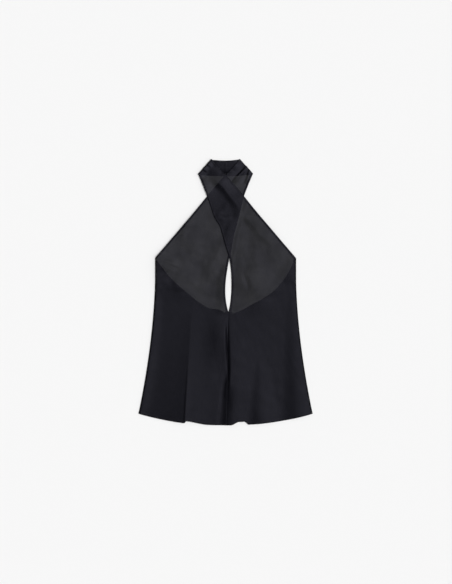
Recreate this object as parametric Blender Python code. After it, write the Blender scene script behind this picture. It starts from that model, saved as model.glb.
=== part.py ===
"""Crossover halter neck top, laid flat on its back with its front uppermost.

Two front panels are seamed together from the hem to the foot of a keyhole. Above it they cross, the
wearer's left over the right, and run on as straps that fold round the sides of the neck and meet in a
seam at the back of it. The back panel is low and scooped, and lies under the fronts.

X runs to the wearer's left, Y from the hem to the neck and Z up from the surface that the top lies on.
The origin is on that surface, under the middle of the top. Sizes are in metres. A rise is a height on
the laid-out garment, measured from the lowest point of the hem towards the neck.
"""

import math
from typing import NamedTuple

import bpy
from mathutils import Vector

# Driving sizes of the laid-out garment.
LENGTH = 0.7181
UNDERARM_HALF = 0.1903
UNDERARM_RISE = 0.4500
HEM_HALF = 0.2350
HEM_CORNER_RISE = 0.0310
HEM_POWER = 2.25
FLARE_TOP_RISE = 0.3950
FLARE_POWER = 1.70

# The cloth, and the air between one layer and the next.
CLOTH = 0.0012
LAY_GAP = 0.0006
SEAM_GAP = 0.0003
STEP = CLOTH + LAY_GAP

# Centre front: the seam, then the keyhole between the two inner edges.
SEAM_FOOT_X = 0.0025
SEAM_WANDER = 0.0012
SEAM_WAVES = 1.1
KEYHOLE_FOOT = Vector((0.0080, 0.3050))
KEYHOLE_HEAD = Vector((0.0104, 0.4522))

# The straps fold round the neck along a line between these two corners, here on the +X side.
STRAP_LOW_CORNER = Vector((0.0738, 0.6792))
STRAP_TOP_CORNER = Vector((0.0388, 0.7184))
FOLD_INNER_RADIUS = 0.0009
FOLD_INSET = FOLD_INNER_RADIUS + CLOTH
FOLD_EASE = 0.0160
ARMHOLE_BOW = 0.0025
ARMHOLE_BOW_START = 0.40

# The part of each strap behind the neck, at the centre back.
BAND_TOP_RISE = 0.7133
BAND_LOW_RISE = 0.6720

# The back panel's hem lies a little above the front's.
BACK_HEM_RISE = 0.0085

# How the cloth comes down from what it lies on, and closes on the back panel at the side seams: past the
# back panel's neckline, past the neck band, and past the armhole and keyhole edges of the strap beneath.
RAMP = 0.0280
BAND_RAMP = 0.0500
STRAP_RAMP = 0.0600
INNER_RAMP = 0.0140
RAMP_CLEAR = 0.0025
SIDE_SINK = 0.0045
CROSSING_FOOT_RISE = 0.4150


class Place(NamedTuple):
    """A point of the laid-out garment."""

    x: float
    rise: float


class Notch(NamedTuple):
    """Where a fold draws the front hem up: from where, and over what width, it starts and ends."""

    height: float
    start_x: float
    start_width: float
    end_x: float
    end_width: float


class Lobe(NamedTuple):
    """A soft fold that stands up at the hem and runs out towards its top."""

    hem_x: float
    top: Place
    height: float
    width_minus_x: float
    width_plus_x: float
    sharp: bool = False


class Crease(NamedTuple):
    """A groove between two soft rolls. Depths are at its start and at its deepest, a share along it."""

    path: tuple
    start_depth: float
    depth: float
    deepest_at: float
    groove: float
    roll_left: float
    roll_right: float


class Drape(NamedTuple):
    """A fold that rises slowly from its right, ever steeper to a crest, and falls away on its left."""

    path: tuple
    height: float
    fade: float
    foot: float
    face: float
    back: float
    power: float = 4.0


class Swell(NamedTuple):
    """A broad low rise of the cloth, along a line."""

    path: tuple
    height: float
    spread: float


class Front(NamedTuple):
    """One front panel. side is +1 for the wearer's left, whose strap folds at the neck's right."""

    name: str
    side: int
    keyhole_bulge: float
    keyhole_skew: float
    keyhole_fullness: float
    strap_edge: tuple
    columns: tuple
    led_column: float
    lead: tuple


class Rung(NamedTuple):
    """A line across a front panel, from its inner edge to its outer edge, and the rows up to it."""

    inner_rise: float
    outer_rise: float
    rows: int


# The step at the foot of the pleat, and the dip beside the centre seam.
NOTCHES = (
    Notch(0.0060, -0.1120, 0.0065, -0.1050, 0.0600),
    Notch(0.0086, 0.0140, 0.0230, 0.0520, 0.0110),
)

# The back panel's neckline, from one underarm to the other.
SCOOP = (
    Place(-UNDERARM_HALF, UNDERARM_RISE),
    Place(-0.1500, 0.3985),
    Place(-0.1006, 0.3540),
    Place(-0.0500, 0.3176),
    Place(-0.0180, 0.3112),
    Place(0.0080, 0.2990),
    Place(0.0320, 0.3045),
    Place(0.0660, 0.3225),
    Place(0.1246, 0.3570),
    Place(0.1605, 0.3965),
    Place(UNDERARM_HALF, UNDERARM_RISE),
)

# The lower edge of each strap, from the keyhole's head to the fold at the neck.
LEFT_STRAP_EDGE = (
    Place(KEYHOLE_HEAD.x, KEYHOLE_HEAD.y),
    Place(0.0010, 0.4814),
    Place(-0.0092, 0.5175),
    Place(-0.0155, 0.5372),
    Place(-0.0295, 0.5600),
    Place(-0.0394, 0.5885),
    Place(-0.0490, 0.6166),
    Place(-STRAP_LOW_CORNER.x, STRAP_LOW_CORNER.y),
)
RIGHT_STRAP_EDGE = (
    Place(KEYHOLE_HEAD.x, KEYHOLE_HEAD.y),
    Place(0.0158, 0.4751),
    Place(0.0218, 0.5084),
    Place(0.0292, 0.5383),
    Place(0.0414, 0.5859),
    Place(0.0490, 0.6166),
    Place(STRAP_LOW_CORNER.x, STRAP_LOW_CORNER.y),
)

# The paths of the main folds. The first two cross the left strap, the next two lie along the centre seam,
# and the last two are the pleat in the right front and the roll beside its side seam.
STRAP_FOLD = (
    Place(-0.0420, 0.6760),
    Place(-0.0280, 0.6570),
    Place(-0.0090, 0.6350),
    Place(0.0080, 0.6120),
    Place(0.0250, 0.5910),
    Place(0.0370, 0.5720),
    Place(0.0450, 0.5630),
)
STRAP_TAIL = (Place(0.0300, 0.5760), Place(0.0540, 0.5540), Place(0.0900, 0.5100), Place(0.1300, 0.4760))
SEAM_LINE = (
    Place(0.0030, 0.0500),
    Place(0.0040, 0.0900),
    Place(0.0064, 0.1500),
    Place(0.0052, 0.2100),
    Place(0.0046, 0.2700),
    Place(0.0075, 0.3000),
)
TROUGH = (Place(-0.0190, -0.0050), Place(-0.0082, 0.0560), Place(-0.0015, 0.1000), Place(0.0030, 0.1700))
PLEAT = (Place(-0.1140, -0.0050), Place(-0.1130, 0.0600), Place(-0.1080, 0.2000))
RIGHT_SIDE = (
    Place(-0.1860, 0.4300),
    Place(-0.1856, 0.3600),
    Place(-0.1936, 0.2600),
    Place(-0.2081, 0.1500),
    Place(-0.2310, 0.0200),
)

# Both fronts have the folds along the centre seam, so that they meet at one height there.
# A crease has its path, depth at its start, depth, deepest at, groove, and roll on its left and right.
SEAM_CREASES = (
    Crease(SEAM_LINE, 0.0, 0.0046, 0.50, 0.0041, 0.0001, 0.0800),
    Crease(SEAM_LINE, 0.0, 0.0032, 0.50, 0.0041, 0.0480, 0.0001),
    Crease(TROUGH, 0.0076, 0.0070, 0.45, 0.0205, 0.0001, 0.0700),
)
FOLDS = {
    "front_left": (
        Lobe(0.0985, Place(0.094, 0.150), 0.0034, 0.040, 0.060),
        Lobe(0.2050, Place(0.178, 0.360), 0.0046, 0.054, 0.030),
        *SEAM_CREASES,
        Drape(STRAP_FOLD, 0.0031, 0.26, 0.0200, 0.0075, 0.0300),
        Drape(STRAP_TAIL, 0.0016, 0.30, 0.0160, 0.0060, 0.0200),
        Crease((Place(-0.0560, 0.7030), Place(-0.0360, 0.6930)), 0.0050, 0.0044, 0.50, 0.0026, 0.006, 0.005),
        Crease((Place(-0.0660, 0.6890), Place(-0.0470, 0.6800)), 0.0046, 0.0040, 0.50, 0.0024, 0.005, 0.005),
        Crease((Place(-0.0620, 0.6970), Place(-0.0250, 0.6800)), 0.0010, 0.0012, 0.40, 0.0040, 0.009, 0.009),
        Swell((Place(-0.0640, 0.6700), Place(-0.0500, 0.6200)), 0.0026, 0.016),
        Swell((Place(0.0700, 0.5950), Place(0.1150, 0.5380), Place(0.1600, 0.4700)), 0.0038, 0.046),
        Swell((Place(0.0450, 0.4000), Place(0.1250, 0.4300)), 0.0018, 0.030),
        Crease(
            (Place(0.0660, 0.3580), Place(0.0560, 0.3880), Place(0.0420, 0.4200)),
            0.0, 0.0020, 0.50, 0.0080, 0.016, 0.016,
        ),
    ),
    "front_right": (
        Lobe(-0.1110, Place(-0.1030, 0.330), 0.0070, 0.107, 0.108, sharp=True),
        Crease(PLEAT, 0.0010, 0.0010, 0.20, 0.0024, 0.0008, 0.0110),
        Swell((Place(-0.0180, 0.3000), Place(-0.0220, 0.2200), Place(-0.0350, 0.1200)), 0.0008, 0.018),
        *SEAM_CREASES,
        Crease(TROUGH, 0.0012, 0.0010, 0.20, 0.0035, 0.0200, 0.0001),
        Swell(RIGHT_SIDE, 0.0018, 0.0120),
        Crease(
            (Place(0.0525, 0.6925), Place(0.0377, 0.6776), Place(0.0188, 0.6560)),
            0.0020, 0.0024, 0.55, 0.0022, 0.018, 0.0140,
        ),
        Crease((Place(0.0640, 0.6900), Place(0.0500, 0.6480)), 0.0016, 0.0020, 0.45, 0.0028, 0.009, 0.009),
        Swell((Place(-0.0500, 0.6030), Place(-0.1110, 0.5330), Place(-0.1640, 0.4680)), 0.0048, 0.052),
        Crease(
            (Place(-0.1780, 0.4420), Place(-0.1500, 0.4290), Place(-0.1100, 0.4130)),
            0.0, 0.0022, 0.40, 0.0055, 0.0110, 0.0110,
        ),
        Swell((Place(-0.1250, 0.4020), Place(-0.0950, 0.3780), Place(-0.0450, 0.3400)), 0.0020, 0.017),
    ),
}

LEFT = Front(
    name="front_left",
    side=1,
    keyhole_bulge=0.0069,
    keyhole_skew=0.95,
    keyhole_fullness=0.80,
    strap_edge=LEFT_STRAP_EDGE,
    columns=(0, 0.02, 0.05, 0.09, 0.14, 0.185, 0.228, 0.268, 0.315, 0.36, 0.40, 0.435, 0.475, 0.525, 0.58,
             0.65, 0.73, 0.81, 0.89, 0.95, 1),
    led_column=0.40,
    lead=STRAP_FOLD,
)
RIGHT = Front(
    name="front_right",
    side=-1,
    keyhole_bulge=-0.0099,
    keyhole_skew=0.80,
    keyhole_fullness=1.0,
    strap_edge=RIGHT_STRAP_EDGE,
    columns=(0, 0.02, 0.05, 0.09, 0.14, 0.20, 0.26, 0.32, 0.38, 0.43, 0.458, 0.472, 0.486, 0.51, 0.56, 0.63,
             0.71, 0.80, 0.88, 0.95, 1),
    led_column=0.472,
    lead=PLEAT,
)

# The rows of the fronts' cloth, and how many it takes for the led column to go back to its own place.
RUNGS = (
    Rung(KEYHOLE_FOOT.y, 0.3300, 18),
    Rung(0.3980, UNDERARM_RISE, 7),
    Rung(KEYHOLE_HEAD.y, 0.4985, 5),
    Rung(0.6166, 0.6600, 16),
)
STRAP_ROWS = 8
WRAP_ROWS = 5
BAND_ROWS = 4
LEAD_ROWS = 9

BLACK_SATIN = (0.016, 0.017, 0.021, 1.0)
SATIN_ROUGHNESS = 0.5


def clamp(value):
    """The value, kept between 0 and 1."""
    return min(1.0, max(0.0, value))


def smooth(value):
    """A soft step from 0 to 1."""
    value = clamp(value)
    return value * value * (3 - 2 * value)


def mix(a, b, share):
    """The value that lies this share of the way from a to b."""
    return a + (b - a) * share


def bulge(share, skew=1):
    """An arch over 0 to 1 that is 0 at both ends, leaning to the start where skew is under 1."""
    return math.sin(math.pi * clamp(share) ** skew)


def curve_at(knots, at):
    """The height at one place of a smooth curve through knots, which are (place, height) in order."""
    last = len(knots) - 1
    leg = next((i for i in range(last) if at <= knots[i + 1][0]), last - 1)

    def slope(i):
        (x0, y0), (x1, y1) = knots[max(i - 1, 0)], knots[min(i + 1, last)]
        return (y1 - y0) / (x1 - x0)

    (x0, y0), (x1, y1) = knots[leg], knots[leg + 1]
    run = x1 - x0
    chord = (y1 - y0) / run
    t = clamp((at - x0) / run)
    bend = (1 - t) * (slope(leg) - chord) - t * (slope(leg + 1) - chord)
    return mix(y0, y1, t) + t * (1 - t) * run * bend


# Outlines ---------------------------------------------------------------------------------------


def hem_notch(x):
    """How far the front hem is drawn up by its folds."""
    drawn = 0.0
    for notch in NOTCHES:
        started = smooth((x - notch.start_x) / notch.start_width)
        drawn += notch.height * started * (1 - smooth((x - notch.end_x) / notch.end_width))
    return drawn


def hem_arc(x, foot_rise):
    """The curve of a hem that starts at the foot rise in the middle and ends at the hem corners."""
    return foot_rise + (HEM_CORNER_RISE - foot_rise) * abs(x / HEM_HALF) ** HEM_POWER


def side_x(rise):
    """Half the width of the body at this rise: straight under the arm, then flared to the hem."""
    flare = clamp((FLARE_TOP_RISE - rise) / (FLARE_TOP_RISE - HEM_CORNER_RISE))
    return UNDERARM_HALF + (HEM_HALF - UNDERARM_HALF) * flare**FLARE_POWER


def seam_x(rise):
    """The centre front seam, which wanders a little."""
    share = rise / KEYHOLE_FOOT.y
    wander = SEAM_WANDER * math.sin(2 * math.pi * SEAM_WAVES * share)
    return mix(SEAM_FOOT_X, KEYHOLE_FOOT.x, share) + wander


def inner_point(front, rise):
    """The panel's edge at the centre seam, along the keyhole and up the lower side of its strap."""
    gap = front.side * SEAM_GAP / 2
    if rise <= KEYHOLE_FOOT.y:
        return Vector((seam_x(rise) + gap, rise))
    if rise <= KEYHOLE_HEAD.y:
        share = (rise - KEYHOLE_FOOT.y) / (KEYHOLE_HEAD.y - KEYHOLE_FOOT.y)
        arch = clamp(bulge(share, front.keyhole_skew)) ** front.keyhole_fullness
        return Vector((mix(KEYHOLE_FOOT.x, KEYHOLE_HEAD.x, share) + gap + front.keyhole_bulge * arch, rise))
    knots = [(place.rise, place.x) for place in front.strap_edge]
    return Vector((curve_at(knots, rise), rise))


def outer_point(front, rise):
    """The panel's edge up the side seam, then straight along the armhole to the top of its strap."""
    if rise <= UNDERARM_RISE:
        return Vector((front.side * side_x(rise), rise))
    share = (rise - UNDERARM_RISE) / (STRAP_TOP_CORNER.y - UNDERARM_RISE)
    x = mix(front.side * UNDERARM_HALF, -front.side * STRAP_TOP_CORNER.x, share)
    bow = bulge((share - ARMHOLE_BOW_START) / (1 - ARMHOLE_BOW_START)) ** 2
    return Vector((x + front.side * ARMHOLE_BOW * bow, rise))


def scoop_rise(x):
    """The back panel's neckline, from its foot near the centre to the underarms."""
    return curve_at(SCOOP, min(UNDERARM_HALF, max(-UNDERARM_HALF, x)))


def band_low_rise(x):
    """The lower edge of the straps behind the neck."""
    return mix(BAND_LOW_RISE, STRAP_LOW_CORNER.y, clamp(abs(x) / STRAP_LOW_CORNER.x) ** 2)


# How high each layer lies -----------------------------------------------------------------------


def ramp_down(distance):
    """1 over what lies below and just past its edge, then softly down to 0."""
    return 1 - smooth((distance - RAMP_CLEAR) / RAMP)


def from_side(x, rise):
    """How far a point lies inside the side seam, or inside the underarm where it is above it."""
    return side_x(min(rise, UNDERARM_RISE)) - abs(x)


def rest_height(x, rise):
    """The underside of a single front layer, on the back panel, on the neck band or on the surface."""
    reach = RAMP / 2
    slope = (scoop_rise(x + reach) - scoop_rise(x - reach)) / RAMP
    past_scoop = (rise - scoop_rise(x)) / math.hypot(1, slope)
    past_band = (band_low_rise(x) - rise) * RAMP / BAND_RAMP
    sewn = 1 - smooth(from_side(x, rise) / SIDE_SINK)
    step = mix(STEP, CLOTH + SEAM_GAP, sewn)
    return step * max(ramp_down(past_scoop), ramp_down(past_band))


def under_cover(x, rise):
    """1 where the wearer's right front lies beneath the left one, and softly 0 past its edges."""
    if rise > STRAP_TOP_CORNER.y:
        return 0.0
    armhole = outer_point(RIGHT, max(rise, UNDERARM_RISE))
    edge = STRAP_TOP_CORNER - Vector((-UNDERARM_HALF, UNDERARM_RISE))
    past_armhole = (armhole.x - x) * edge.y / edge.length
    past_inner = x - inner_point(RIGHT, min(rise, STRAP_LOW_CORNER.y)).x
    crossed = smooth((rise - CROSSING_FOOT_RISE) / (KEYHOLE_HEAD.y - CROSSING_FOOT_RISE - RAMP_CLEAR))
    over_armhole = ramp_down(past_armhole * RAMP / STRAP_RAMP)
    return over_armhole * ramp_down(past_inner * RAMP / INNER_RAMP) * crossed


def lobe_height(lobe, x, rise):
    """The lift of a hem fold at a point."""
    grown = clamp((lobe.top.rise - rise) / lobe.top.rise)
    if grown == 0:
        return 0.0
    off = x - mix(lobe.hem_x, lobe.top.x, 1 - grown)
    width = (lobe.width_plus_x if off > 0 else lobe.width_minus_x) * math.sqrt(grown)
    inside = clamp(abs(off) / width)
    if lobe.sharp:
        crest = (1 - inside) ** (1.15 if off > 0 else 1.7)
    else:
        crest = math.cos(math.pi / 2 * inside) ** 2
    return lobe.height * grown**1.1 * crest


def on_path(path, x, rise):
    """How far along a path the nearest point to this one is, as a share, and how far off it lies."""
    here = Vector((x, rise))
    legs = [(Vector(a), Vector(b) - Vector(a)) for a, b in zip(path, path[1:])]
    length = sum(run.length for _, run in legs)
    best_share, best_off, before = 0.0, math.inf, 0.0
    for start, run in legs:
        to = here - start
        share = clamp(to.dot(run) / run.length_squared)
        side = 1 if run.x * to.y > run.y * to.x else -1
        off = (to - run * share).length
        if off < abs(best_off):
            best_share, best_off = (before + share * run.length) / length, side * off
        before += run.length
    return best_share, best_off


def crease_height(crease, x, rise):
    """The lift of the two rolls beside a crease at a point."""
    share, off = on_path(crease.path, x, rise)
    if share < crease.deepest_at:
        depth = mix(crease.start_depth, crease.depth, smooth(share / crease.deepest_at))
    else:
        depth = crease.depth * (1 - smooth((share - crease.deepest_at) / (1 - crease.deepest_at)))
    roll = crease.roll_left if off > 0 else crease.roll_right
    return depth * (1 - math.exp(-((off / crease.groove) ** 2))) * math.exp(-((off / roll) ** 2))


def drape_height(drape, x, rise):
    """The lift of a draped fold at a point."""
    share, off = on_path(drape.path, x, rise)
    up = clamp((off + drape.foot) / (drape.foot + drape.face))
    climb = up**drape.power * (drape.power + 1 - drape.power * up)
    fall = math.exp(-((max(off - drape.face, 0) / drape.back) ** 2))
    return drape.height * smooth(min(share, 1 - share) / drape.fade) * climb * fall


def swell_height(swell, x, rise):
    """The lift of a broad rise at a point."""
    share, off = on_path(swell.path, x, rise)
    return swell.height * bulge(mix(0.15, 0.85, share)) * math.exp(-((off / swell.spread) ** 2))


LIFTS = {Lobe: lobe_height, Crease: crease_height, Drape: drape_height, Swell: swell_height}


def relief(front, x, rise):
    """The lift of all the folds of a front at a point. It is 0 at the side seam and never below."""
    lift = sum(LIFTS[type(fold)](fold, x, rise) for fold in FOLDS[front.name])
    return lift * smooth(from_side(x, rise) / SIDE_SINK)


def right_underside(x, rise):
    """The height of the wearer's right front above the surface."""
    return rest_height(x, rise) + relief(RIGHT, x, rise)


def left_underside(x, rise):
    """The height of the wearer's left front, which lies over the right one where they cross."""
    on_right = right_underside(x, rise) + STEP
    return mix(rest_height(x, rise), on_right, under_cover(x, rise)) + relief(LEFT, x, rise)


# Panels -----------------------------------------------------------------------------------------


def fold_axis(front):
    """The two ends of the line that a strap folds about, inset so that its outside meets the corners."""
    low = Vector((-front.side * STRAP_LOW_CORNER.x, STRAP_LOW_CORNER.y))
    top = Vector((-front.side * STRAP_TOP_CORNER.x, STRAP_TOP_CORNER.y))
    line = (top - low).normalized()
    out = Vector((line.y, -line.x)) * -front.side
    inner_way = (low - KEYHOLE_HEAD).normalized()
    outer_way = (top - outer_point(front, UNDERARM_RISE)).normalized()
    low_axis = low - inner_way * FOLD_INSET / inner_way.dot(out)
    top_axis = top - outer_way * FOLD_INSET / outer_way.dot(out)
    return low_axis, top_axis, out


def body_rows(front):
    """The ends of each row of the panel from the hem to the neck, with how much it follows the hem."""
    low_axis, top_axis, _ = fold_axis(front)
    hem = Rung(0.0, HEM_CORNER_RISE, 0)
    rows = [(inner_point(front, hem.inner_rise), outer_point(front, hem.outer_rise), 1.0)]
    before = hem
    for rung in RUNGS:
        for i in range(1, rung.rows + 1):
            share = i / rung.rows
            inner = inner_point(front, mix(before.inner_rise, rung.inner_rise, share))
            outer = outer_point(front, mix(before.outer_rise, rung.outer_rise, share))
            rows.append((inner, outer, (1 - share) ** 2 if before is hem else 0.0))
        before = rung
    for i in range(1, STRAP_ROWS):
        share = i / STRAP_ROWS
        inner = inner_point(front, mix(before.inner_rise, low_axis.y, share))
        outer = outer_point(front, mix(before.outer_rise, top_axis.y, share))
        rows.append((inner, outer, 0.0))
    rows.append((low_axis, top_axis, 0.0))
    return rows


def plan_point(inner, outer, follow_hem, across):
    """A point of a row, as x and rise."""
    point = inner.lerp(outer, across)
    if follow_hem:
        straight = mix(0, HEM_CORNER_RISE, across)
        point.y += follow_hem * (hem_arc(point.x, 0) + hem_notch(point.x) - straight)
    return point


def meeting(inner, outer, path):
    """Where a path crosses a row, as a share of the way across it, or None where it doesn't."""
    row = outer - inner
    for start, end in zip(path, path[1:]):
        leg = Vector(end) - Vector(start)
        to = Vector(start) - inner
        turn = row.x * leg.y - row.y * leg.x
        across = (to.x * leg.y - to.y * leg.x) / turn
        along = (to.x * row.y - to.y * row.x) / turn
        if 0 < across < 1 and 0 <= along <= 1:
            return across
    return None


def column_shares(front, rows):
    """Where each row's points lie across it, with one column led along the panel's main fold."""
    met = {i: meeting(inner, outer, front.lead) for i, (inner, outer, _) in enumerate(rows)}
    met = {i: across for i, across in met.items() if across is not None}
    own = front.led_column
    shares = []
    for i in range(len(rows)):
        nearest = min(met, key=lambda at: abs(at - i))
        led = mix(met[nearest], own, smooth(abs(nearest - i) / LEAD_ROWS))
        inside = [led * c / own for c in front.columns if c < own]
        outside = [1 - (1 - led) * (1 - c) / (1 - own) for c in front.columns if c >= own]
        shares.append(inside + outside)
    return shares


def upper_layer(front, underside):
    """The middle of the cloth from the hem to the strap's fold, and where the fold's points lie on it."""
    low_axis, _, out = fold_axis(front)
    at_fold = CLOTH + 2 * FOLD_INNER_RADIUS
    rows = body_rows(front)
    shares = column_shares(front, rows)
    grid = []
    for (inner, outer, follow_hem), across_row in zip(rows, shares):
        row = []
        for across in across_row:
            point = plan_point(inner, outer, follow_hem, across)
            to_fold = -(point - low_axis).dot(out)
            near = 1 - smooth(to_fold / FOLD_EASE)
            creased = sum(crease_height(fold, *point) for fold in FOLDS[front.name] if type(fold) is Crease)
            height = mix(underside(*point), at_fold + creased / 2, near)
            row.append(Vector((point.x, point.y, height + CLOTH / 2)))
        grid.append(row)
    return grid, shares[-1]


def wrapped_layer(front, last_row):
    """The rows that carry the strap round its fold, from the front layer down to the back one."""
    out = fold_axis(front)[2].to_3d()
    rows = []
    for i in range(1, WRAP_ROWS + 1):
        turn = math.pi * i / WRAP_ROWS
        row = []
        for top in last_row:
            radius = (top.z - CLOTH / 2) / 2
            centre = Vector((top.x, top.y, CLOTH / 2 + radius))
            row.append(centre + out * radius * math.sin(turn) + Vector((0, 0, radius * math.cos(turn))))
        rows.append(row)
    return rows


def band_layer(front, shares):
    """The rows of the strap behind the neck, from its fold to the centre back seam."""
    low_axis, top_axis, _ = fold_axis(front)
    seam = -front.side * SEAM_GAP / 2
    rows = []
    for i in range(1, BAND_ROWS + 1):
        share = i / BAND_ROWS
        bend = (1 - share) ** 2
        low = Vector((mix(low_axis.x, seam, share), mix(BAND_LOW_RISE, low_axis.y, bend), CLOTH / 2))
        top = Vector((mix(top_axis.x, seam, share), mix(BAND_TOP_RISE, top_axis.y, bend), CLOTH / 2))
        rows.append([low.lerp(top, across) for across in shares])
    return rows


def row_normals(front, grid):
    """The direction out of the cloth's face at each point, upright where two panels meet in a seam."""
    last_row, last_column = len(grid) - 1, len(grid[0]) - 1
    normals = []
    for i, row in enumerate(grid):
        found = []
        for j, point in enumerate(row):
            along = grid[min(i + 1, last_row)][j] - grid[max(i - 1, 0)][j]
            across = row[min(j + 1, last_column)] - row[max(j - 1, 0)]
            normal = across.cross(along).normalized() * front.side
            at_seam = j == 0 and point.y < KEYHOLE_FOOT.y and i < last_row / 2
            found.append(Vector((0, 0, 1)) if at_seam else normal)
        normals.append(found)
    return normals


def wall_faces(rows, columns, flip):
    """The faces of a closed wall: its face, its back and the rim between them."""
    def face_index(i, j):
        return i * columns + j

    def back_index(i, j):
        return rows * columns + face_index(i, j)

    faces = []
    for i in range(rows - 1):
        for j in range(columns - 1):
            ring = ((i, j), (i, j + 1), (i + 1, j + 1), (i + 1, j))
            faces.append([face_index(*at) for at in ring])
            faces.append([back_index(*at) for at in reversed(ring)])
    rim = [(0, j) for j in range(columns)] + [(i, columns - 1) for i in range(1, rows)]
    rim += [(rows - 1, j) for j in range(columns - 2, -1, -1)] + [(i, 0) for i in range(rows - 2, 0, -1)]
    for here, there in zip(rim, rim[1:] + rim[:1]):
        faces.append([face_index(*there), face_index(*here), back_index(*here), back_index(*there)])
    return [face[::-1] for face in faces] if flip else faces


def add_object(name, points, faces):
    """An object of the garment, moved so that the middle of the garment is at the origin."""
    mesh = bpy.data.meshes.new(name)
    mesh.from_pydata([(p.x, p.y - LENGTH / 2, p.z) for p in points], [], faces)
    mesh.materials.append(satin(name + "_satin"))
    mesh.shade_smooth()
    mesh.set_sharp_from_angle(angle=math.radians(50))
    made = bpy.data.objects.new(name, mesh)
    bpy.context.scene.collection.objects.link(made)
    return made


def satin(name):
    """The black satin that a panel is cut from."""
    material = bpy.data.materials.new(name)
    material.use_nodes = True
    shader = material.node_tree.nodes["Principled BSDF"]
    shader.inputs["Base Color"].default_value = BLACK_SATIN
    shader.inputs["Roughness"].default_value = SATIN_ROUGHNESS
    shader.inputs["Metallic"].default_value = 0.0
    return material


def add_front(front, underside):
    """A front panel with its strap, as one wall of cloth."""
    grid, fold_shares = upper_layer(front, underside)
    grid += wrapped_layer(front, grid[-1])
    grid += band_layer(front, fold_shares)
    normals = row_normals(front, grid)
    half = CLOTH / 2
    face = [p + n * half for row, ns in zip(grid, normals) for p, n in zip(row, ns)]
    back = [p - n * half for row, ns in zip(grid, normals) for p, n in zip(row, ns)]
    faces = wall_faces(len(grid), len(front.columns), flip=front.side < 0)
    return add_object(front.name, face + back, faces)


def add_back():
    """The back panel, flat on the surface."""
    hem_steps, side_steps, scoop_steps = 24, 14, 28
    outline = [
        Vector((x, hem_arc(x, BACK_HEM_RISE)))
        for x in (mix(-HEM_HALF, HEM_HALF, i / hem_steps) for i in range(hem_steps + 1))
    ]
    rises = [mix(HEM_CORNER_RISE, UNDERARM_RISE, i / side_steps) for i in range(1, side_steps + 1)]
    outline += [Vector((side_x(rise), rise)) for rise in rises]
    outline += [
        Vector((x, scoop_rise(x)))
        for x in (mix(UNDERARM_HALF, -UNDERARM_HALF, i / scoop_steps) for i in range(1, scoop_steps + 1))
    ]
    outline += [Vector((-side_x(rise), rise)) for rise in reversed(rises[:-1])]
    count = len(outline)
    points = [point.to_3d() for point in outline]
    points += [Vector((point.x, point.y, CLOTH)) for point in outline]
    faces = [list(range(count))[::-1], list(range(count, 2 * count))]
    faces += [[i, (i + 1) % count, count + (i + 1) % count, count + i] for i in range(count)]
    return add_object("back", points, faces)


def main():
    """Clears the scene and builds the three panels."""
    for stale in list(bpy.data.objects):
        bpy.data.objects.remove(stale)
    for stale in list(bpy.data.materials):
        bpy.data.materials.remove(stale)
    add_back()
    add_front(RIGHT, right_underside)
    add_front(LEFT, left_underside)


if __name__ == "__main__":
    main()
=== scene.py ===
"""A crossover halter neck top of black, slightly sheer satin, laid flat on its back on a pale floor.

The wearer's left front crosses over the right one above a keyhole, and both run on as straps that fold
round the neck and meet behind it. The back panel is low and scooped. Each panel is a thin shell of cloth
with its edges turned and stitched beneath it, in the space of the solid that it stands for.

X runs to the wearer's left, Y from the hem to the neck and Z up. A rise is a height on the laid-out
garment above the lowest point of its hem. Lengths are in metres.
"""

import logging
import math
from dataclasses import dataclass, field
from enum import Enum
from typing import Callable, NamedTuple, Sequence

import bpy
import numpy as np
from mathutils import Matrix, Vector

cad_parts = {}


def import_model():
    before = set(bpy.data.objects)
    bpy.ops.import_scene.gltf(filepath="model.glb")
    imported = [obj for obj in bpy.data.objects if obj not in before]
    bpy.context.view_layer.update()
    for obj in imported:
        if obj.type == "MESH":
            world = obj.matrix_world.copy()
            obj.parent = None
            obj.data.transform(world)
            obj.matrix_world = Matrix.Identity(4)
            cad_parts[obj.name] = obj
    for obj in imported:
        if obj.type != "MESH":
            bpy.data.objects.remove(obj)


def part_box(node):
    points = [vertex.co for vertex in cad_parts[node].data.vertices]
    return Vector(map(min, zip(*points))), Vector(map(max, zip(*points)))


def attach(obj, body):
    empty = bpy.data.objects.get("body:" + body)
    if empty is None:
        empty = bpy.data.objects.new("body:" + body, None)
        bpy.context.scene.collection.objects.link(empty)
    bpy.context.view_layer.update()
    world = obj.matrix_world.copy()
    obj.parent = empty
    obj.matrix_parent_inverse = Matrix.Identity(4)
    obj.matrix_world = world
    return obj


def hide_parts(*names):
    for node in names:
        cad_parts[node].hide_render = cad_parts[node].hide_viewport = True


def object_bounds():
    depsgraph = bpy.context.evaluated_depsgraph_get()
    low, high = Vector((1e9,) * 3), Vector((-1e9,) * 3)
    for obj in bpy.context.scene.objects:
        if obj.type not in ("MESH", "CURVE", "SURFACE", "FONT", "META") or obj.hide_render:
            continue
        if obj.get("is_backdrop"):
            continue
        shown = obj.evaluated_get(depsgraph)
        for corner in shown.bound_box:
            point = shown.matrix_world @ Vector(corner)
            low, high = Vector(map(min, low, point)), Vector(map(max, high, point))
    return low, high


LOG = logging.getLogger("halter_top")
WEAVE_MAP = "weave"
MM = 0.001
# A length that settles which side of a line a point counts on, and one that keeps a sum from dividing by 0.
HAIR = 1e-6
TINY = 1e-9

Array = np.ndarray
Colour = tuple[float, float, float, float]


# Small sums --------------------------------------------------------------------------------------


def smooth(value: Array | float) -> Array:
    """A soft step from 0 to 1."""
    held = np.clip(value, 0.0, 1.0)
    return held * held * (3 - 2 * held)


def mix(a: Array | float, b: Array | float, share: Array | float) -> Array | float:
    """The value that lies this share of the way from a to b."""
    return a + (b - a) * share


def bump(off: Array) -> Array:
    """A bell that is 1 at 0 and near 0 beyond 2."""
    return np.exp(-(off**2))


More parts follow.
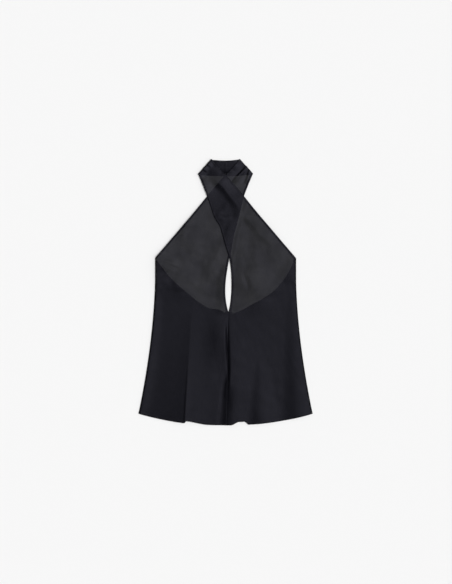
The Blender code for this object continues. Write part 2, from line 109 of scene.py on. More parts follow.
def bulge(share: Array | float, skew: float = 1.0) -> Array:
    """An arch over 0 to 1 that is 0 at both ends, leaning to the start where skew is under 1."""
    return np.sin(math.pi * np.clip(share, 0.0, 1.0) ** skew)


def unit(vectors: Array) -> Array:
    """The vectors, each made 1 long."""
    return vectors / np.linalg.norm(vectors, axis=-1, keepdims=True)


def curve_at(knots: Sequence[tuple[float, float]], at: Array) -> Array:
    """Reads a smooth curve through knots.

    Args:
        knots: The (place, height) pairs that the curve goes through, in order of place.
        at: The places to read.

    Returns:
        The curve's height at each place.
    """
    places, heights = (np.array(column) for column in zip(*knots))
    last = len(places) - 1
    before, after = np.maximum(np.arange(last + 1) - 1, 0), np.minimum(np.arange(last + 1) + 1, last)
    slopes = (heights[after] - heights[before]) / (places[after] - places[before])
    leg = np.clip(np.searchsorted(places, at, side="left") - 1, 0, last - 1)
    run = places[leg + 1] - places[leg]
    chord = (heights[leg + 1] - heights[leg]) / run
    t = np.clip((at - places[leg]) / run, 0.0, 1.0)
    bend = (1 - t) * (slopes[leg] - chord) - t * (slopes[leg + 1] - chord)
    return mix(heights[leg], heights[leg + 1], t) + t * (1 - t) * run * bend


# The cut -----------------------------------------------------------------------------------------


class Side(Enum):
    """The wearer's side that a front panel covers, as the sign of X."""

    LEFT = 1
    RIGHT = -1


class Edge(Enum):
    """The edges of a panel: its first and last column, and its first and last row."""

    INNER = "inner"
    OUTER = "outer"
    FOOT = "foot"
    HEAD = "head"


class Place(NamedTuple):
    """A point of the laid-out garment."""

    x: float
    rise: float


def through(*points: tuple[float, float]) -> tuple[Place, ...]:
    """The places that a line over the garment goes through, each given as its x and its rise."""
    return tuple(Place(*point) for point in points)


class Notch(NamedTuple):
    """Where a fold draws the front hem up: from where, and over what width, it starts and ends."""

    height: float
    start_x: float
    start_width: float
    end_x: float
    end_width: float


@dataclass(frozen=True)
class Outline:
    """The outline of the laid-out garment, and where it lies in the frame."""

    foot_y: float
    hem_half: float
    underarm_half: float = 0.1903
    underarm_rise: float = 0.4500
    hem_corner_rise: float = 0.0310
    hem_power: float = 2.25
    flare_top_rise: float = 0.3950
    flare_power: float = 1.70
    back_hem_rise: float = 0.0085
    seam_foot_x: float = 0.0025
    seam_wander: float = 0.0012
    seam_waves: float = 1.1
    seam_gap: float = 0.0001
    keyhole_foot: Place = Place(0.0080, 0.3050)
    keyhole_head: Place = Place(0.0104, 0.4522)
    strap_low_corner: Place = Place(0.0738, 0.6792)
    strap_top_corner: Place = Place(0.0388, 0.7184)
    armhole_bow: float = 0.0025
    armhole_bow_start: float = 0.40
    band_top_rise: float = 0.7133
    band_low_rise: float = 0.6720
    notches: tuple[Notch, ...] = (
        Notch(0.0060, -0.1120, 0.0065, -0.1050, 0.0600),
        Notch(0.0086, 0.0140, 0.0230, 0.0520, 0.0110),
    )
    scoop: tuple[Place, ...] = through(
        (-0.1903, 0.4500), (-0.1500, 0.3985), (-0.1006, 0.3540), (-0.0500, 0.3176),
        (-0.0180, 0.3112), (0.0080, 0.2990), (0.0320, 0.3045), (0.0660, 0.3225),
        (0.1246, 0.3570), (0.1605, 0.3965), (0.1903, 0.4500),
    )

    def hem_notch(self, x: Array) -> Array:
        """Adds up how the folds draw the front hem up.

        Args:
            x: The places across the garment.

        Returns:
            How far the hem is drawn up at each place.
        """
        drawn = np.zeros_like(x)
        for notch in self.notches:
            started = smooth((x - notch.start_x) / notch.start_width)
            drawn += notch.height * started * (1 - smooth((x - notch.end_x) / notch.end_width))
        return drawn

    def hem_arc(self, x: Array, foot_rise: float) -> Array:
        """The curve of a hem that starts at the foot rise in the middle and ends at the hem corners."""
        return foot_rise + (self.hem_corner_rise - foot_rise) * np.abs(x / self.hem_half) ** self.hem_power

    def side_x(self, rise: Array) -> Array:
        """Half the width of the body at this rise: straight under the arm, then flared to the hem."""
        flare = np.clip((self.flare_top_rise - rise) / (self.flare_top_rise - self.hem_corner_rise), 0, 1)
        return self.underarm_half + (self.hem_half - self.underarm_half) * flare**self.flare_power

    def seam_x(self, rise: Array) -> Array:
        """Follows the centre front seam, which wanders a little.

        Args:
            rise: The heights on the garment.

        Returns:
            Where the seam lies across the garment at each height.
        """
        share = rise / self.keyhole_foot.rise
        wander = self.seam_wander * np.sin(2 * math.pi * self.seam_waves * share)
        return mix(self.seam_foot_x, self.keyhole_foot.x, share) + wander

    def scoop_rise(self, x: Array) -> Array:
        """The back panel's neckline, from its foot near the centre to the underarms."""
        return curve_at(self.scoop, np.clip(x, -self.underarm_half, self.underarm_half))

    def low_band_rise(self, x: Array) -> Array:
        """The lower edge of the straps behind the neck."""
        share = np.clip(np.abs(x) / self.strap_low_corner.x, 0, 1) ** 2
        return mix(self.band_low_rise, self.strap_low_corner.rise, share)

    def from_side(self, x: Array, rise: Array) -> Array:
        """How far a point lies inside the side seam, or inside the underarm where it is above it."""
        return self.side_x(np.minimum(rise, self.underarm_rise)) - np.abs(x)


@dataclass(frozen=True)
class FrontCut:
    """How one front panel is cut: its side, its keyhole edge and the lower edge of its strap."""

    outline: Outline
    side: Side
    keyhole_bulge: float
    keyhole_skew: float
    keyhole_fullness: float
    strap_edge: tuple[Place, ...]

    def inner_x(self, rise: Array) -> Array:
        """Follows the edge at the centre seam, along the keyhole and up the lower side of the strap.

        Args:
            rise: The heights on the garment.

        Returns:
            Where the edge lies across the garment at each height.
        """
        foot, head = self.outline.keyhole_foot, self.outline.keyhole_head
        gap = self.side.value * self.outline.seam_gap / 2
        share = (rise - foot.rise) / (head.rise - foot.rise)
        arch = np.clip(bulge(share, self.keyhole_skew), 0, 1) ** self.keyhole_fullness
        keyhole = mix(foot.x, head.x, share) + gap + self.keyhole_bulge * arch
        strap = curve_at([(place.rise, place.x) for place in self.strap_edge], rise)
        seam = self.outline.seam_x(rise) + gap
        return np.select([rise <= foot.rise, rise <= head.rise], [seam, keyhole], strap)

    def outer_x(self, rise: Array) -> Array:
        """Follows the edge up the side seam, then along the armhole to the top of the strap.

        Args:
            rise: The heights on the garment.

        Returns:
            Where the edge lies across the garment at each height.
        """
        cut, sign = self.outline, self.side.value
        share = (rise - cut.underarm_rise) / (cut.strap_top_corner.rise - cut.underarm_rise)
        bow = bulge((share - cut.armhole_bow_start) / (1 - cut.armhole_bow_start)) ** 2
        armhole = mix(sign * cut.underarm_half, -sign * cut.strap_top_corner.x, share)
        armhole = armhole + sign * cut.armhole_bow * bow
        return np.where(rise <= cut.underarm_rise, sign * cut.side_x(rise), armhole)


# Folds -------------------------------------------------------------------------------------------


def on_path(path: Sequence[Place], x: Array, rise: Array) -> tuple[Array, Array]:
    """Finds the nearest place on a path to each point.

    Args:
        path: The corners of the path.
        x: The points' places across the garment.
        rise: The points' heights on the garment.

    Returns:
        How far along the path the nearest place is, as a share, and how far off it the point lies, more
        than 0 on its left.
    """
    corners = np.array(path, float)
    runs = np.diff(corners, axis=0)
    lengths = np.linalg.norm(runs, axis=1)
    share, off = np.zeros_like(x), np.full_like(x, np.inf)
    for start, run, length, before in zip(corners, runs, lengths, np.cumsum(lengths) - lengths):
        to_x, to_rise = x - start[0], rise - start[1]
        along = np.clip((to_x * run[0] + to_rise * run[1]) / length**2, 0, 1)
        apart = np.hypot(to_x - run[0] * along, to_rise - run[1] * along)
        nearer = apart < np.abs(off)
        share = np.where(nearer, (before + along * length) / lengths.sum(), share)
        off = np.where(nearer, apart * np.where(run[0] * to_rise > run[1] * to_x, 1, -1), off)
    return share, off


@dataclass(frozen=True)
class Lobe:
    """A soft fold that stands up at the hem and runs out towards its top.

    It is round across, or where it is sharp it has a ridge that is steeper on its -X side.
    """

    hem_x: float
    top: Place
    height: float
    width_minus_x: float
    width_plus_x: float
    sharp: bool = False
    power_minus_x: float = 1.7
    power_plus_x: float = 1.15
    growth: float = 1.1

    def lift(self, x: Array, rise: Array) -> Array:
        """Raises the cloth over the fold.

        Args:
            x: The points' places across the garment.
            rise: Their heights on the garment.

        Returns:
            How far the cloth is lifted at each point.
        """
        grown = np.clip((self.top.rise - rise) / self.top.rise, 0, 1)
        off = x - mix(self.hem_x, self.top.x, 1 - grown)
        width = np.where(off > 0, self.width_plus_x, self.width_minus_x) * np.sqrt(grown) + TINY
        inside = np.clip(np.abs(off) / width, 0, 1)
        if self.sharp:
            crest = (1 - inside) ** np.where(off > 0, self.power_plus_x, self.power_minus_x)
        else:
            crest = np.cos(math.pi / 2 * inside) ** 2
        return self.height * grown**self.growth * crest


@dataclass(frozen=True)
class Crease:
    """A groove between two soft rolls, of which one may be left out.

    It has a depth at its start and one where it is deepest, this share along it, and ends in nothing.
    """

    path: tuple[Place, ...]
    start_depth: float
    depth: float
    deepest_at: float
    groove: float
    roll_left: float
    roll_right: float

    def lift(self, x: Array, rise: Array) -> Array:
        """Raises the cloth in the rolls beside the groove.

        Args:
            x: The points' places across the garment.
            rise: Their heights on the garment.

        Returns:
            How far the cloth is lifted at each point.
        """
        share, off = on_path(self.path, x, rise)
        rising = mix(self.start_depth, self.depth, smooth(share / self.deepest_at))
        fading = self.depth * (1 - smooth((share - self.deepest_at) / (1 - self.deepest_at)))
        depth = np.where(share < self.deepest_at, rising, fading)
        roll = np.where(off > 0, self.roll_left, self.roll_right)
        return depth * (1 - bump(off / self.groove)) * bump(off / roll)


@dataclass(frozen=True)
class Drape:
    """A fold that rises slowly from its right, ever steeper to a crest, and falls away on its left."""

    path: tuple[Place, ...]
    height: float
    fade: float
    foot: float
    face: float
    back: float
    power: float = 4.0

    def lift(self, x: Array, rise: Array) -> Array:
        """Raises the cloth over the fold.

        Args:
            x: The points' places across the garment.
            rise: Their heights on the garment.

        Returns:
            How far the cloth is lifted at each point.
        """
        share, off = on_path(self.path, x, rise)
        up = np.clip((off + self.foot) / (self.foot + self.face), 0, 1)
        climb = up**self.power * (self.power + 1 - self.power * up)
        fall = bump(np.maximum(off - self.face, 0) / self.back)
        return self.height * smooth(np.minimum(share, 1 - share) / self.fade) * climb * fall


@dataclass(frozen=True)
class Swell:
    """A broad low rise of the cloth along a line, lower towards both its ends."""

    path: tuple[Place, ...]
    height: float
    spread: float
    end_share: float = 0.15

    def lift(self, x: Array, rise: Array) -> Array:
        """How far the rise lifts the cloth at each point."""
        share, off = on_path(self.path, x, rise)
        return self.height * bulge(mix(self.end_share, 1 - self.end_share, share)) * bump(off / self.spread)


@dataclass(frozen=True)
class Ripple:
    """The slight unevenness that pressed cloth keeps, as a few crossing waves.

    It starts above a rise and is calmer in the straps. Its height spans this many standard deviations.
    """

    height: float
    seed: int
    shortest: float = 0.016
    longest: float = 0.060
    above: float = -0.1
    waves: int = 14
    deviations: float = 6.0
    start_fade: float = 0.06
    strap_rise: float = 0.56
    strap_fade: float = 0.05
    strap_calm: float = 0.75

    def lift(self, x: Array, rise: Array) -> Array:
        """Raises the cloth in the waves, from 0 to their height.

        Args:
            x: The points' places across the garment.
            rise: Their heights on the garment.

        Returns:
            How far the cloth is lifted at each point.
        """
        draw = np.random.default_rng(self.seed)
        total, power = np.zeros_like(x), 0.0
        for _ in range(self.waves):
            length = self.shortest * (self.longest / self.shortest) ** draw.random()
            turn, phase = draw.random() * math.pi, draw.random() * 2 * math.pi
            along = x * math.cos(turn) + rise * math.sin(turn)
            total += length * np.sin(2 * math.pi * along / length + phase)
            power += length**2 / 2
        share = np.clip(0.5 + total / (self.deviations * math.sqrt(power)), 0, 1)
        calmed = 1 - self.strap_calm * smooth((rise - self.strap_rise) / self.strap_fade)
        return self.height * share * (smooth((rise - self.above) / self.start_fade) * calmed)


Fold = Lobe | Crease | Drape | Swell | Ripple
NO_ROLL = 0.0001

# A crease has its path, its depth at the start, its depth, where it is deepest, its groove and the rolls on
# its left and its right. A drape has its path, height, fade, foot, face and back. A swell has its path,
# height and spread.
STRAP_FOLD = through(
    (-0.0500, 0.6785), (-0.0440, 0.6720), (-0.0305, 0.6560), (-0.0090, 0.6350),
    (0.0080, 0.6120), (0.0250, 0.5910), (0.0370, 0.5720), (0.0450, 0.5630),
)
STRAP_TAIL = through((0.0300, 0.5760), (0.0540, 0.5540), (0.0900, 0.5100), (0.1300, 0.4760))
SEAM_LINE = through(
    (0.0030, 0.0500), (0.0040, 0.0900), (0.0064, 0.1500),
    (0.0052, 0.2100), (0.0046, 0.2700), (0.0075, 0.3000),
)
SEAM_HEAD = through((0.0060, 0.1300), *SEAM_LINE[2:])
TROUGH = through(
    (-0.0200, -0.0050), (-0.0125, 0.0560), (-0.0100, 0.0900),
    (-0.0080, 0.1100), (-0.0035, 0.1350), (0.0015, 0.1700),
)
TROUGH_FOOT = through((-0.0080, 0.0600), (-0.0050, 0.0950), (0.0000, 0.1300), (0.0025, 0.1650))
SEAM_CREASES = (
    Crease(SEAM_LINE, 0.0, 0.0046, 0.40, 0.0041, NO_ROLL, 0.0800),
    Crease(SEAM_HEAD, 0.0, 0.0040, 0.60, 0.0041, 0.0440, NO_ROLL),
    Crease(TROUGH, 0.0076, 0.0078, 0.45, 0.0260, NO_ROLL, 0.0700),
    Crease(TROUGH_FOOT, 0.0, 0.0024, 0.50, 0.0070, NO_ROLL, 0.0150),
)

RIGHT_SIDE = through(
    (-0.1890, 0.4300), (-0.1890, 0.3600), (-0.1965, 0.2600), (-0.2105, 0.1500), (-0.2330, 0.0200),
)
KEYHOLE_SIDE = through((-0.0060, 0.3150), (-0.0060, 0.3500), (-0.0045, 0.4000), (0.0060, 0.4400))

LEFT_FOLDS: tuple[Fold, ...] = (
    Lobe(0.0985, Place(0.094, 0.190), 0.0044, 0.042, 0.060),
    Lobe(0.2050, Place(0.178, 0.360), 0.0046, 0.054, 0.060),
    *SEAM_CREASES,
    Drape(STRAP_FOLD, 0.0034, 0.33, 0.0200, 0.0070, 0.0340),
    Drape(STRAP_TAIL, 0.0021, 0.30, 0.0160, 0.0060, 0.0200),
    Crease(through((-0.0590, 0.7060), (-0.0380, 0.6915)), 0.0022, 0.0022, 0.40, 0.0022, 0.0120, NO_ROLL),
    Crease(through((-0.0680, 0.6920), (-0.0500, 0.6790)), 0.0022, 0.0022, 0.40, 0.0022, 0.0120, NO_ROLL),
    Crease(through((-0.0420, 0.7120), (-0.0190, 0.6860)), 0.0008, 0.0008, 0.40, 0.0026, 0.0120, NO_ROLL),
    Swell(through((-0.0640, 0.6700), (-0.0500, 0.6200)), 0.0020, 0.016),
    Swell(through((-0.0640, 0.7020), (-0.0400, 0.6970), (-0.0080, 0.6890)), 0.0025, 0.0200),
    Swell(through((0.0700, 0.5950), (0.1150, 0.5380), (0.1600, 0.4700)), 0.0038, 0.046),
    Swell(through((0.0450, 0.4000), (0.1250, 0.4300)), 0.0018, 0.030),
    Swell(through((0.0920, 0.3400), (0.0870, 0.3700), (0.0950, 0.4000)), 0.0044, 0.030),
    Crease(
        through((0.0660, 0.3580), (0.0560, 0.3880), (0.0420, 0.4200)),
        0.0, 0.0020, 0.50, 0.0080, 0.016, 0.016,
    ),
    Ripple(0.0004, 11),
    Ripple(0.0012, 13, 0.016, 0.060, 0.330),
    Ripple(0.0024, 41, 0.030, 0.090, 0.330),
)
RIGHT_FOLDS: tuple[Fold, ...] = (
    Lobe(-0.1110, Place(-0.0900, 0.330), 0.0060, 0.107, 0.108, True),
    Crease(
        through((-0.1140, -0.0050), (-0.1110, 0.0600), (-0.1020, 0.2000)),
        0.0010, 0.0010, 0.20, 0.0024, 0.0008, 0.0110,
    ),
    Swell(through((-0.0180, 0.3000), (-0.0220, 0.2200), (-0.0350, 0.1200)), 0.0008, 0.018),
    *SEAM_CREASES,
    Crease(TROUGH, 0.0012, 0.0010, 0.20, 0.0035, 0.0200, NO_ROLL),
    Swell(RIGHT_SIDE, 0.0028, 0.0140),
    Crease(
        through((0.0498, 0.6954), (0.0350, 0.6805), (0.0161, 0.6589), (0.0100, 0.6520)),
        0.0034, 0.0046, 0.60, 0.0036, 0.0125, NO_ROLL,
    ),
    Crease(
        through((0.0603, 0.6884), (0.0549, 0.6668), (0.0468, 0.6506)),
        0.0024, 0.0034, 0.60, 0.0030, 0.0110, NO_ROLL,
    ),
    Swell(through((0.0180, 0.6900), (0.0260, 0.7010), (0.0350, 0.7120)), 0.0026, 0.014),
    Swell(through((-0.0500, 0.6030), (-0.1110, 0.5330), (-0.1640, 0.4680)), 0.0050, 0.056),
    Swell(through((-0.1980, 0.4900), (-0.1820, 0.4350), (-0.1500, 0.4000)), 0.0044, 0.048),
    Swell(KEYHOLE_SIDE, 0.0030, 0.0140),
    Crease(
        through((-0.1780, 0.4420), (-0.1500, 0.4290), (-0.1100, 0.4130)),
        0.0, 0.0034, 0.40, 0.0050, 0.0110, 0.0110,
    ),
    Swell(through((-0.1150, 0.4080), (-0.0850, 0.3840), (-0.0400, 0.3520)), 0.0016, 0.014),
    Ripple(0.0004, 23),
    Ripple(0.0012, 29, 0.016, 0.060, 0.330),
    Ripple(0.0024, 47, 0.030, 0.090, 0.330),
)


@dataclass(frozen=True)
class Lay:
    """How high each layer lies when the garment is laid on its back.

    Room is the height that a layer takes up, and gap what is left between two of them. A ramp is the way over
    which a layer comes down past an edge that lies beneath it.
    """

    outline: Outline
    right: FrontCut
    room: float = 0.0012
    gap: float = 0.0006
    seam_gap: float = 0.0003
    ramp: float = 0.0280
    band_ramp: float = 0.0500
    strap_ramp: float = 0.0600
    inner_ramp: float = 0.0140
    ramp_clear: float = 0.0025
    side_sink: float = 0.0045
    crossing_foot_rise: float = 0.4150
    face_down: float = 0.0009

    @property
    def step(self) -> float:
        """The height from one layer to the next."""
        return self.room + self.gap

    def ramp_down(self, distance: Array) -> Array:
        """1 over what lies below and just past its edge, then softly down to 0."""
        return 1 - smooth((distance - self.ramp_clear) / self.ramp)

    def rest_height(self, x: Array, rise: Array) -> Array:
        """Finds where a single front layer lies, on the back panel, on the neck band or on the floor.

        Args:
            x: The points' places across the garment.
            rise: Their heights on the garment.

        Returns:
            The height of the layer's underside above the floor.
        """
        cut, reach = self.outline, self.ramp / 2
        slope = (cut.scoop_rise(x + reach) - cut.scoop_rise(x - reach)) / self.ramp
        past_scoop = (rise - cut.scoop_rise(x)) / np.hypot(1, slope)
        past_band = (cut.low_band_rise(x) - rise) * self.ramp / self.band_ramp
        sewn = 1 - smooth(cut.from_side(x, rise) / self.side_sink)
        step = mix(self.step, self.room + self.seam_gap, sewn)
        return step * np.maximum(self.ramp_down(past_scoop), self.ramp_down(past_band))

    def under_cover(self, x: Array, rise: Array) -> Array:
        """Finds where the wearer's right front lies beneath the left one.

        Args:
            x: The points' places across the garment.
            rise: Their heights on the garment.

        Returns:
            1 where it lies beneath, and softly 0 past its edges.
        """
        cut = self.outline
        way = np.array(cut.strap_top_corner) - np.array((-cut.underarm_half, cut.underarm_rise))
        armhole_x = self.right.outer_x(np.maximum(rise, cut.underarm_rise + HAIR))
        past_armhole = (armhole_x - x) * way[1] / np.hypot(*way)
        past_inner = x - self.right.inner_x(np.minimum(rise, cut.strap_low_corner.rise))
        climb = cut.keyhole_head.rise - self.crossing_foot_rise - self.ramp_clear
        crossed = smooth((rise - self.crossing_foot_rise) / climb)
        past_armhole *= self.ramp / self.strap_ramp
        past_inner *= self.ramp / self.inner_ramp
        cover = self.ramp_down(past_armhole) * self.ramp_down(past_inner) * crossed
        return np.where(rise > cut.strap_top_corner.rise, 0.0, cover)

    def relief(self, folds: Sequence[Fold], x: Array, rise: Array) -> Array:
        """The lift of all the folds of a front at each point. It is 0 at the side seam."""
        lift = sum(fold.lift(x, rise) for fold in folds)
        return lift * smooth(self.outline.from_side(x, rise) / self.side_sink)

    def right_underside(self, x: Array, rise: Array) -> Array:
        """The height of the wearer's right front above the floor."""
        return self.rest_height(x, rise) + self.relief(RIGHT_FOLDS, x, rise)

    def left_underside(self, x: Array, rise: Array) -> Array:
        """Lays the wearer's left front over the right one where they cross.

        Args:
            x: The points' places across the garment.
            rise: Their heights on the garment.

        Returns:
            The height of its underside above the floor.
        """
        on_right = self.right_underside(x, rise) + self.step
        beneath = mix(self.rest_height(x, rise), on_right, self.under_cover(x, rise))
        return beneath + self.relief(LEFT_FOLDS, x, rise)


# Cloth as a grid -----------------------------------------------------------------------------------


@dataclass
class Mesh:
    """Points and faces that are gathered before they become an object.

    Faces that meet at less than the smooth angle, in degrees, are shaded as one.
    """

    points: list[Array] = field(default_factory=list)
    faces: list[tuple[int, ...]] = field(default_factory=list)
    flat: list[Array] = field(default_factory=list)
    smooth_angle: float = 50.0

    def add(self, points: Array, faces: Sequence[Sequence[int]], flat: Array) -> None:
        """Adds points and the faces between them.

        Args:
            points: The points.
            faces: The corners of each face, as numbers of these points.
            flat: The points' places in the flat cut.
        """
        first = sum(len(part) for part in self.points)
        self.points.append(points.reshape(-1, 3))
        self.flat.append(flat.reshape(-1, 2))
        self.faces += [tuple(first + int(i) for i in face) for face in faces]

    def place(self, name: str, finish: bpy.types.Material) -> bpy.types.Object:
        """Makes the object, with the cloth's own map of its weave.

        Args:
            name: The name of the piece.
            finish: Its material.

        Returns:
            The object, on the CAD body of the garment.
        """
        mesh = bpy.data.meshes.new(name)
        points = np.concatenate(self.points)
        mesh.from_pydata(points.tolist(), [], self.faces)
        weave = mesh.uv_layers.new(name=WEAVE_MAP)
        corners = np.zeros(len(mesh.loops), np.int32)
        mesh.loops.foreach_get("vertex_index", corners)
        weave.uv.foreach_set("vector", np.concatenate(self.flat)[corners].astype(np.float32).ravel())
        mesh.materials.append(finish)
        mesh.shade_smooth()
        mesh.set_sharp_from_angle(angle=math.radians(self.smooth_angle))
        made = bpy.data.objects.new(name, mesh)
        bpy.context.scene.collection.objects.link(made)
        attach(made, "root")
        LOG.info("%s: %d faces", name, len(mesh.polygons))
        return made


@dataclass(frozen=True)
class Rails:
    """Lines of cloth that run inwards from a stretch of its edge, with the normals of its right side."""

    points: Array
    normals: Array
    flat: Array
    point_within: int = 3

    def inward(self) -> Array:
        """Finds the way that runs square in from the edge, in the cloth.

        Returns:
            The direction at each line, as a vector 1 long.
        """
        along = unit(np.gradient(self.points[:, 0], axis=0))
        across = np.cross(self.normals[:, 0], along)
        within = self.points[:, self.point_within] - self.points[:, 0]
        turned = np.sign(np.sum(across * within, axis=1, keepdims=True))
        return unit(across) * turned

    def at(self, inset: float | Array, lift: float) -> tuple[Array, Array, Array]:
        """Finds the line of places that lie this far in from the edge.

        Args:
            inset: The distance in from the edge, in all or at each rail, less than 0 outside it.
            lift: The distance out of the cloth's right side.

        Returns:
            The places, the normals there and their places in the flat cut.
        """
        inward = self.inward()
        apart = self.points - self.points[:, :1]
        along = unit(np.gradient(self.points[:, 0], axis=0))[:, None]
        square = np.linalg.norm(apart - np.sum(apart * along, axis=2, keepdims=True) * along, axis=2)
        square = np.maximum.accumulate(square, axis=1)
        read = [np.concatenate((p, n, f), axis=1) for p, n, f in zip(self.points, self.normals, self.flat)]
        insets = np.broadcast_to(inset, len(self.points))
        found = np.array([
            [np.interp(max(stop, 0.0), way, column) for column in line.T]
            for stop, way, line in zip(insets, square, read)
        ])
        places, normals, flat = found[:, :3], unit(found[:, 3:6]), found[:, 6:]
        return places + inward * np.minimum(insets, 0.0)[:, None] + normals * lift, normals, flat


@dataclass
class ClothGrid:
    """The middle of a panel's cloth as rows of points, and where each was in the flat cut.

    turned is 1 or -1, so that the normals point out of the cloth's right side. Where it is upright, they
    point straight up, so that the two fronts meet along their seam.
    """

    middle: Array
    flat: Array
    turned: int
    upright: Array | None = None

    def normals(self) -> Array:
        """Finds the way out of the cloth's right side.

        Returns:
            The direction at each point, as a vector 1 long.
        """
        across, along = np.gradient(self.middle, axis=1), np.gradient(self.middle, axis=0)
        normals = unit(np.cross(across, along)) * self.turned
        if self.upright is not None:
            normals[self.upright] = (0, 0, 1)
        return normals

    def from_edge(self, edge: Edge) -> Array:
        """Measures how far the points lie from an edge, along their rows or their columns.

        Args:
            edge: The edge to start from.

        Returns:
            The distance for each point.
        """
        axis = 1 if edge in (Edge.INNER, Edge.OUTER) else 0
        steps = np.linalg.norm(np.diff(self.middle, axis=axis), axis=2)
        walked = np.cumsum(steps, axis=axis)
        start = np.zeros_like(np.take(walked, [0], axis=axis))
        walked = np.concatenate((start, walked), axis=axis)
        if edge in (Edge.INNER, Edge.FOOT):
            return walked
        return np.take(walked, [-1], axis=axis) - walked

    def lift(self, amount: Array) -> None:
        """Moves each point out of the cloth's right side by its amount."""
        self.middle = self.middle + self.normals() * amount[..., None]

    def rails(self, edge: Edge, first: int = 0, last: int | None = None) -> Rails:
        """Takes the lines that run in from a stretch of an edge, nearly to the other side.

        Args:
            edge: The edge.
            first: The row or column that the stretch starts at.
            last: The one that it ends before, or None for the edge's end.

        Returns:
            The lines.
        """
        lines = [self.middle, self.normals(), self.flat]
        if edge in (Edge.FOOT, Edge.HEAD):
            lines = [line.swapaxes(0, 1) for line in lines]
        if edge in (Edge.OUTER, Edge.HEAD):
            lines = [line[:, ::-1] for line in lines]
        return Rails(*(line[first:last, :-2] for line in lines))

    def shell(self, face: float, thickness: float) -> Mesh:
        """The cloth as a closed shell.

        Args:
            face: How far the right side lies from the middle.
            thickness: How thick the cloth is.

        Returns:
            The mesh of the shell.
        """
        rows, columns = self.middle.shape[:2]
        normals = self.normals()
        points = np.concatenate((self.middle + normals * face, self.middle + normals * (face - thickness)))
        at = np.arange(2 * rows * columns).reshape(2 * rows, columns)
        right, wrong = at[:rows], at[rows:]

        def quads(a: Array, b: Array, c: Array, d: Array) -> Array:
            """The faces between four sets of corners, turned so that they point out."""
            ring = np.stack([a.ravel(), b.ravel(), c.ravel(), d.ravel()], axis=1)
            return ring if self.turned > 0 else ring[:, ::-1]

        rim = np.concatenate((right[0], right[1:, -1], right[-1, -2::-1], right[-2:0:-1, 0]))
        under, ahead = rim + rows * columns, np.roll(rim, -1)
        faces = [
            quads(right[:-1, :-1], right[:-1, 1:], right[1:, 1:], right[1:, :-1]),
            quads(wrong[:-1, :-1], wrong[1:, :-1], wrong[1:, 1:], wrong[:-1, 1:]),
            quads(ahead, rim, under, ahead + rows * columns),
        ]
        made = Mesh()
        made.add(points, np.concatenate(faces), np.concatenate((self.flat, self.flat)))
        return made


# Turned edges and stitches --------------------------------------------------------------------------


class TurnKind(Enum):
    """How an edge of cloth is finished."""

    HEM = "hem"
    SEAM = "seam"
    SIDE = "side"


@dataclass(frozen=True)
class Turning:
    """Cloth that is turned under an edge, as a section that runs along it."""

    kind: TurnKind
    width: float

    def section(self) -> list[tuple[float, float, float]]:
        """The closed section, in order round it.

        Returns:
            For each point a distance in, the share of the width that is added to it, and the height above
            the middle of the cloth. The first and the last are in millimetres.
        """
        if self.kind is TurnKind.HEM:
            return [
                (0.2, 0, -0.52), (-0.2, 0, -0.42), (-0.36, 0, -0.10), (-0.30, 0, 0.16), (-0.10, 0, 0.29),
                (-0.02, 0, -0.12), (0.5, 0, -0.02), (1.0, 0, 0.12), (0.5, 0.5, 0.12), (-0.4, 1, 0.12),
                (0.0, 1, -0.18), (-0.4, 1, -0.50), (0.1, 0.5, -0.52),
            ]
        if self.kind is TurnKind.SEAM:
            return [
                (0.0, 0, -0.30), (-0.03, 0, 0.0), (0.0, 0, 0.10), (0.0, 0.5, 0.12), (-0.3, 1, 0.12),
                (0.0, 1, -0.08), (-0.3, 1, -0.30), (0.0, 0.5, -0.30),
            ]
        return [
            (0.0, 0, -0.62), (-0.26, 0, -0.45), (-0.36, 0, -0.05), (-0.26, 0, 0.35), (-0.02, 0, 0.48),
            (-0.02, 0, 0.12), (0.0, 0.5, 0.12), (0.0, 1, 0.0), (0.0, 0.5, -0.20), (0.3, 0, -0.22),
        ]

    def run(self, rails: Rails, widths: Array | None = None) -> Mesh:
        """Lays the turned cloth along the rails and closes its ends.

        Args:
            rails: The edge that it is turned at.
            widths: Its width at each rail, where that isn't the same all along.

        Returns:
            The mesh of the turned cloth.
        """
        widths = np.full(len(rails.points), self.width) if widths is None else widths
        rings, flats = [], []
        for inset, share, lift in self.section():
            places, _, flat = rails.at(inset * MM + share * widths, lift * MM)
            rings.append(places)
            flats.append(flat)
        points, flat = np.stack(rings, axis=1), np.stack(flats, axis=1)
        stations, corners = points.shape[:2]
        at = np.arange(stations * corners).reshape(stations, corners)
        ahead = np.roll(at, -1, axis=1)
        walls = np.stack([at[:-1], ahead[:-1], ahead[1:], at[1:]], axis=2).reshape(-1, 4)
        faces = [list(face) for face in walls] + [list(at[0][::-1]), list(at[-1])]
        across = points[:-1] - points[:-1].mean(axis=1, keepdims=True)
        facing = np.cross(ahead_of(points[:-1]), points[1:] - points[:-1])
        if np.sum(facing * across) < 0:
            faces = [face[::-1] for face in faces]
        made = Mesh()
        made.add(points, faces, flat)
        return made


def ahead_of(rings: Array) -> Array:
    """The way from each corner of the rings to the next."""
    return np.roll(rings, -1, axis=1) - rings


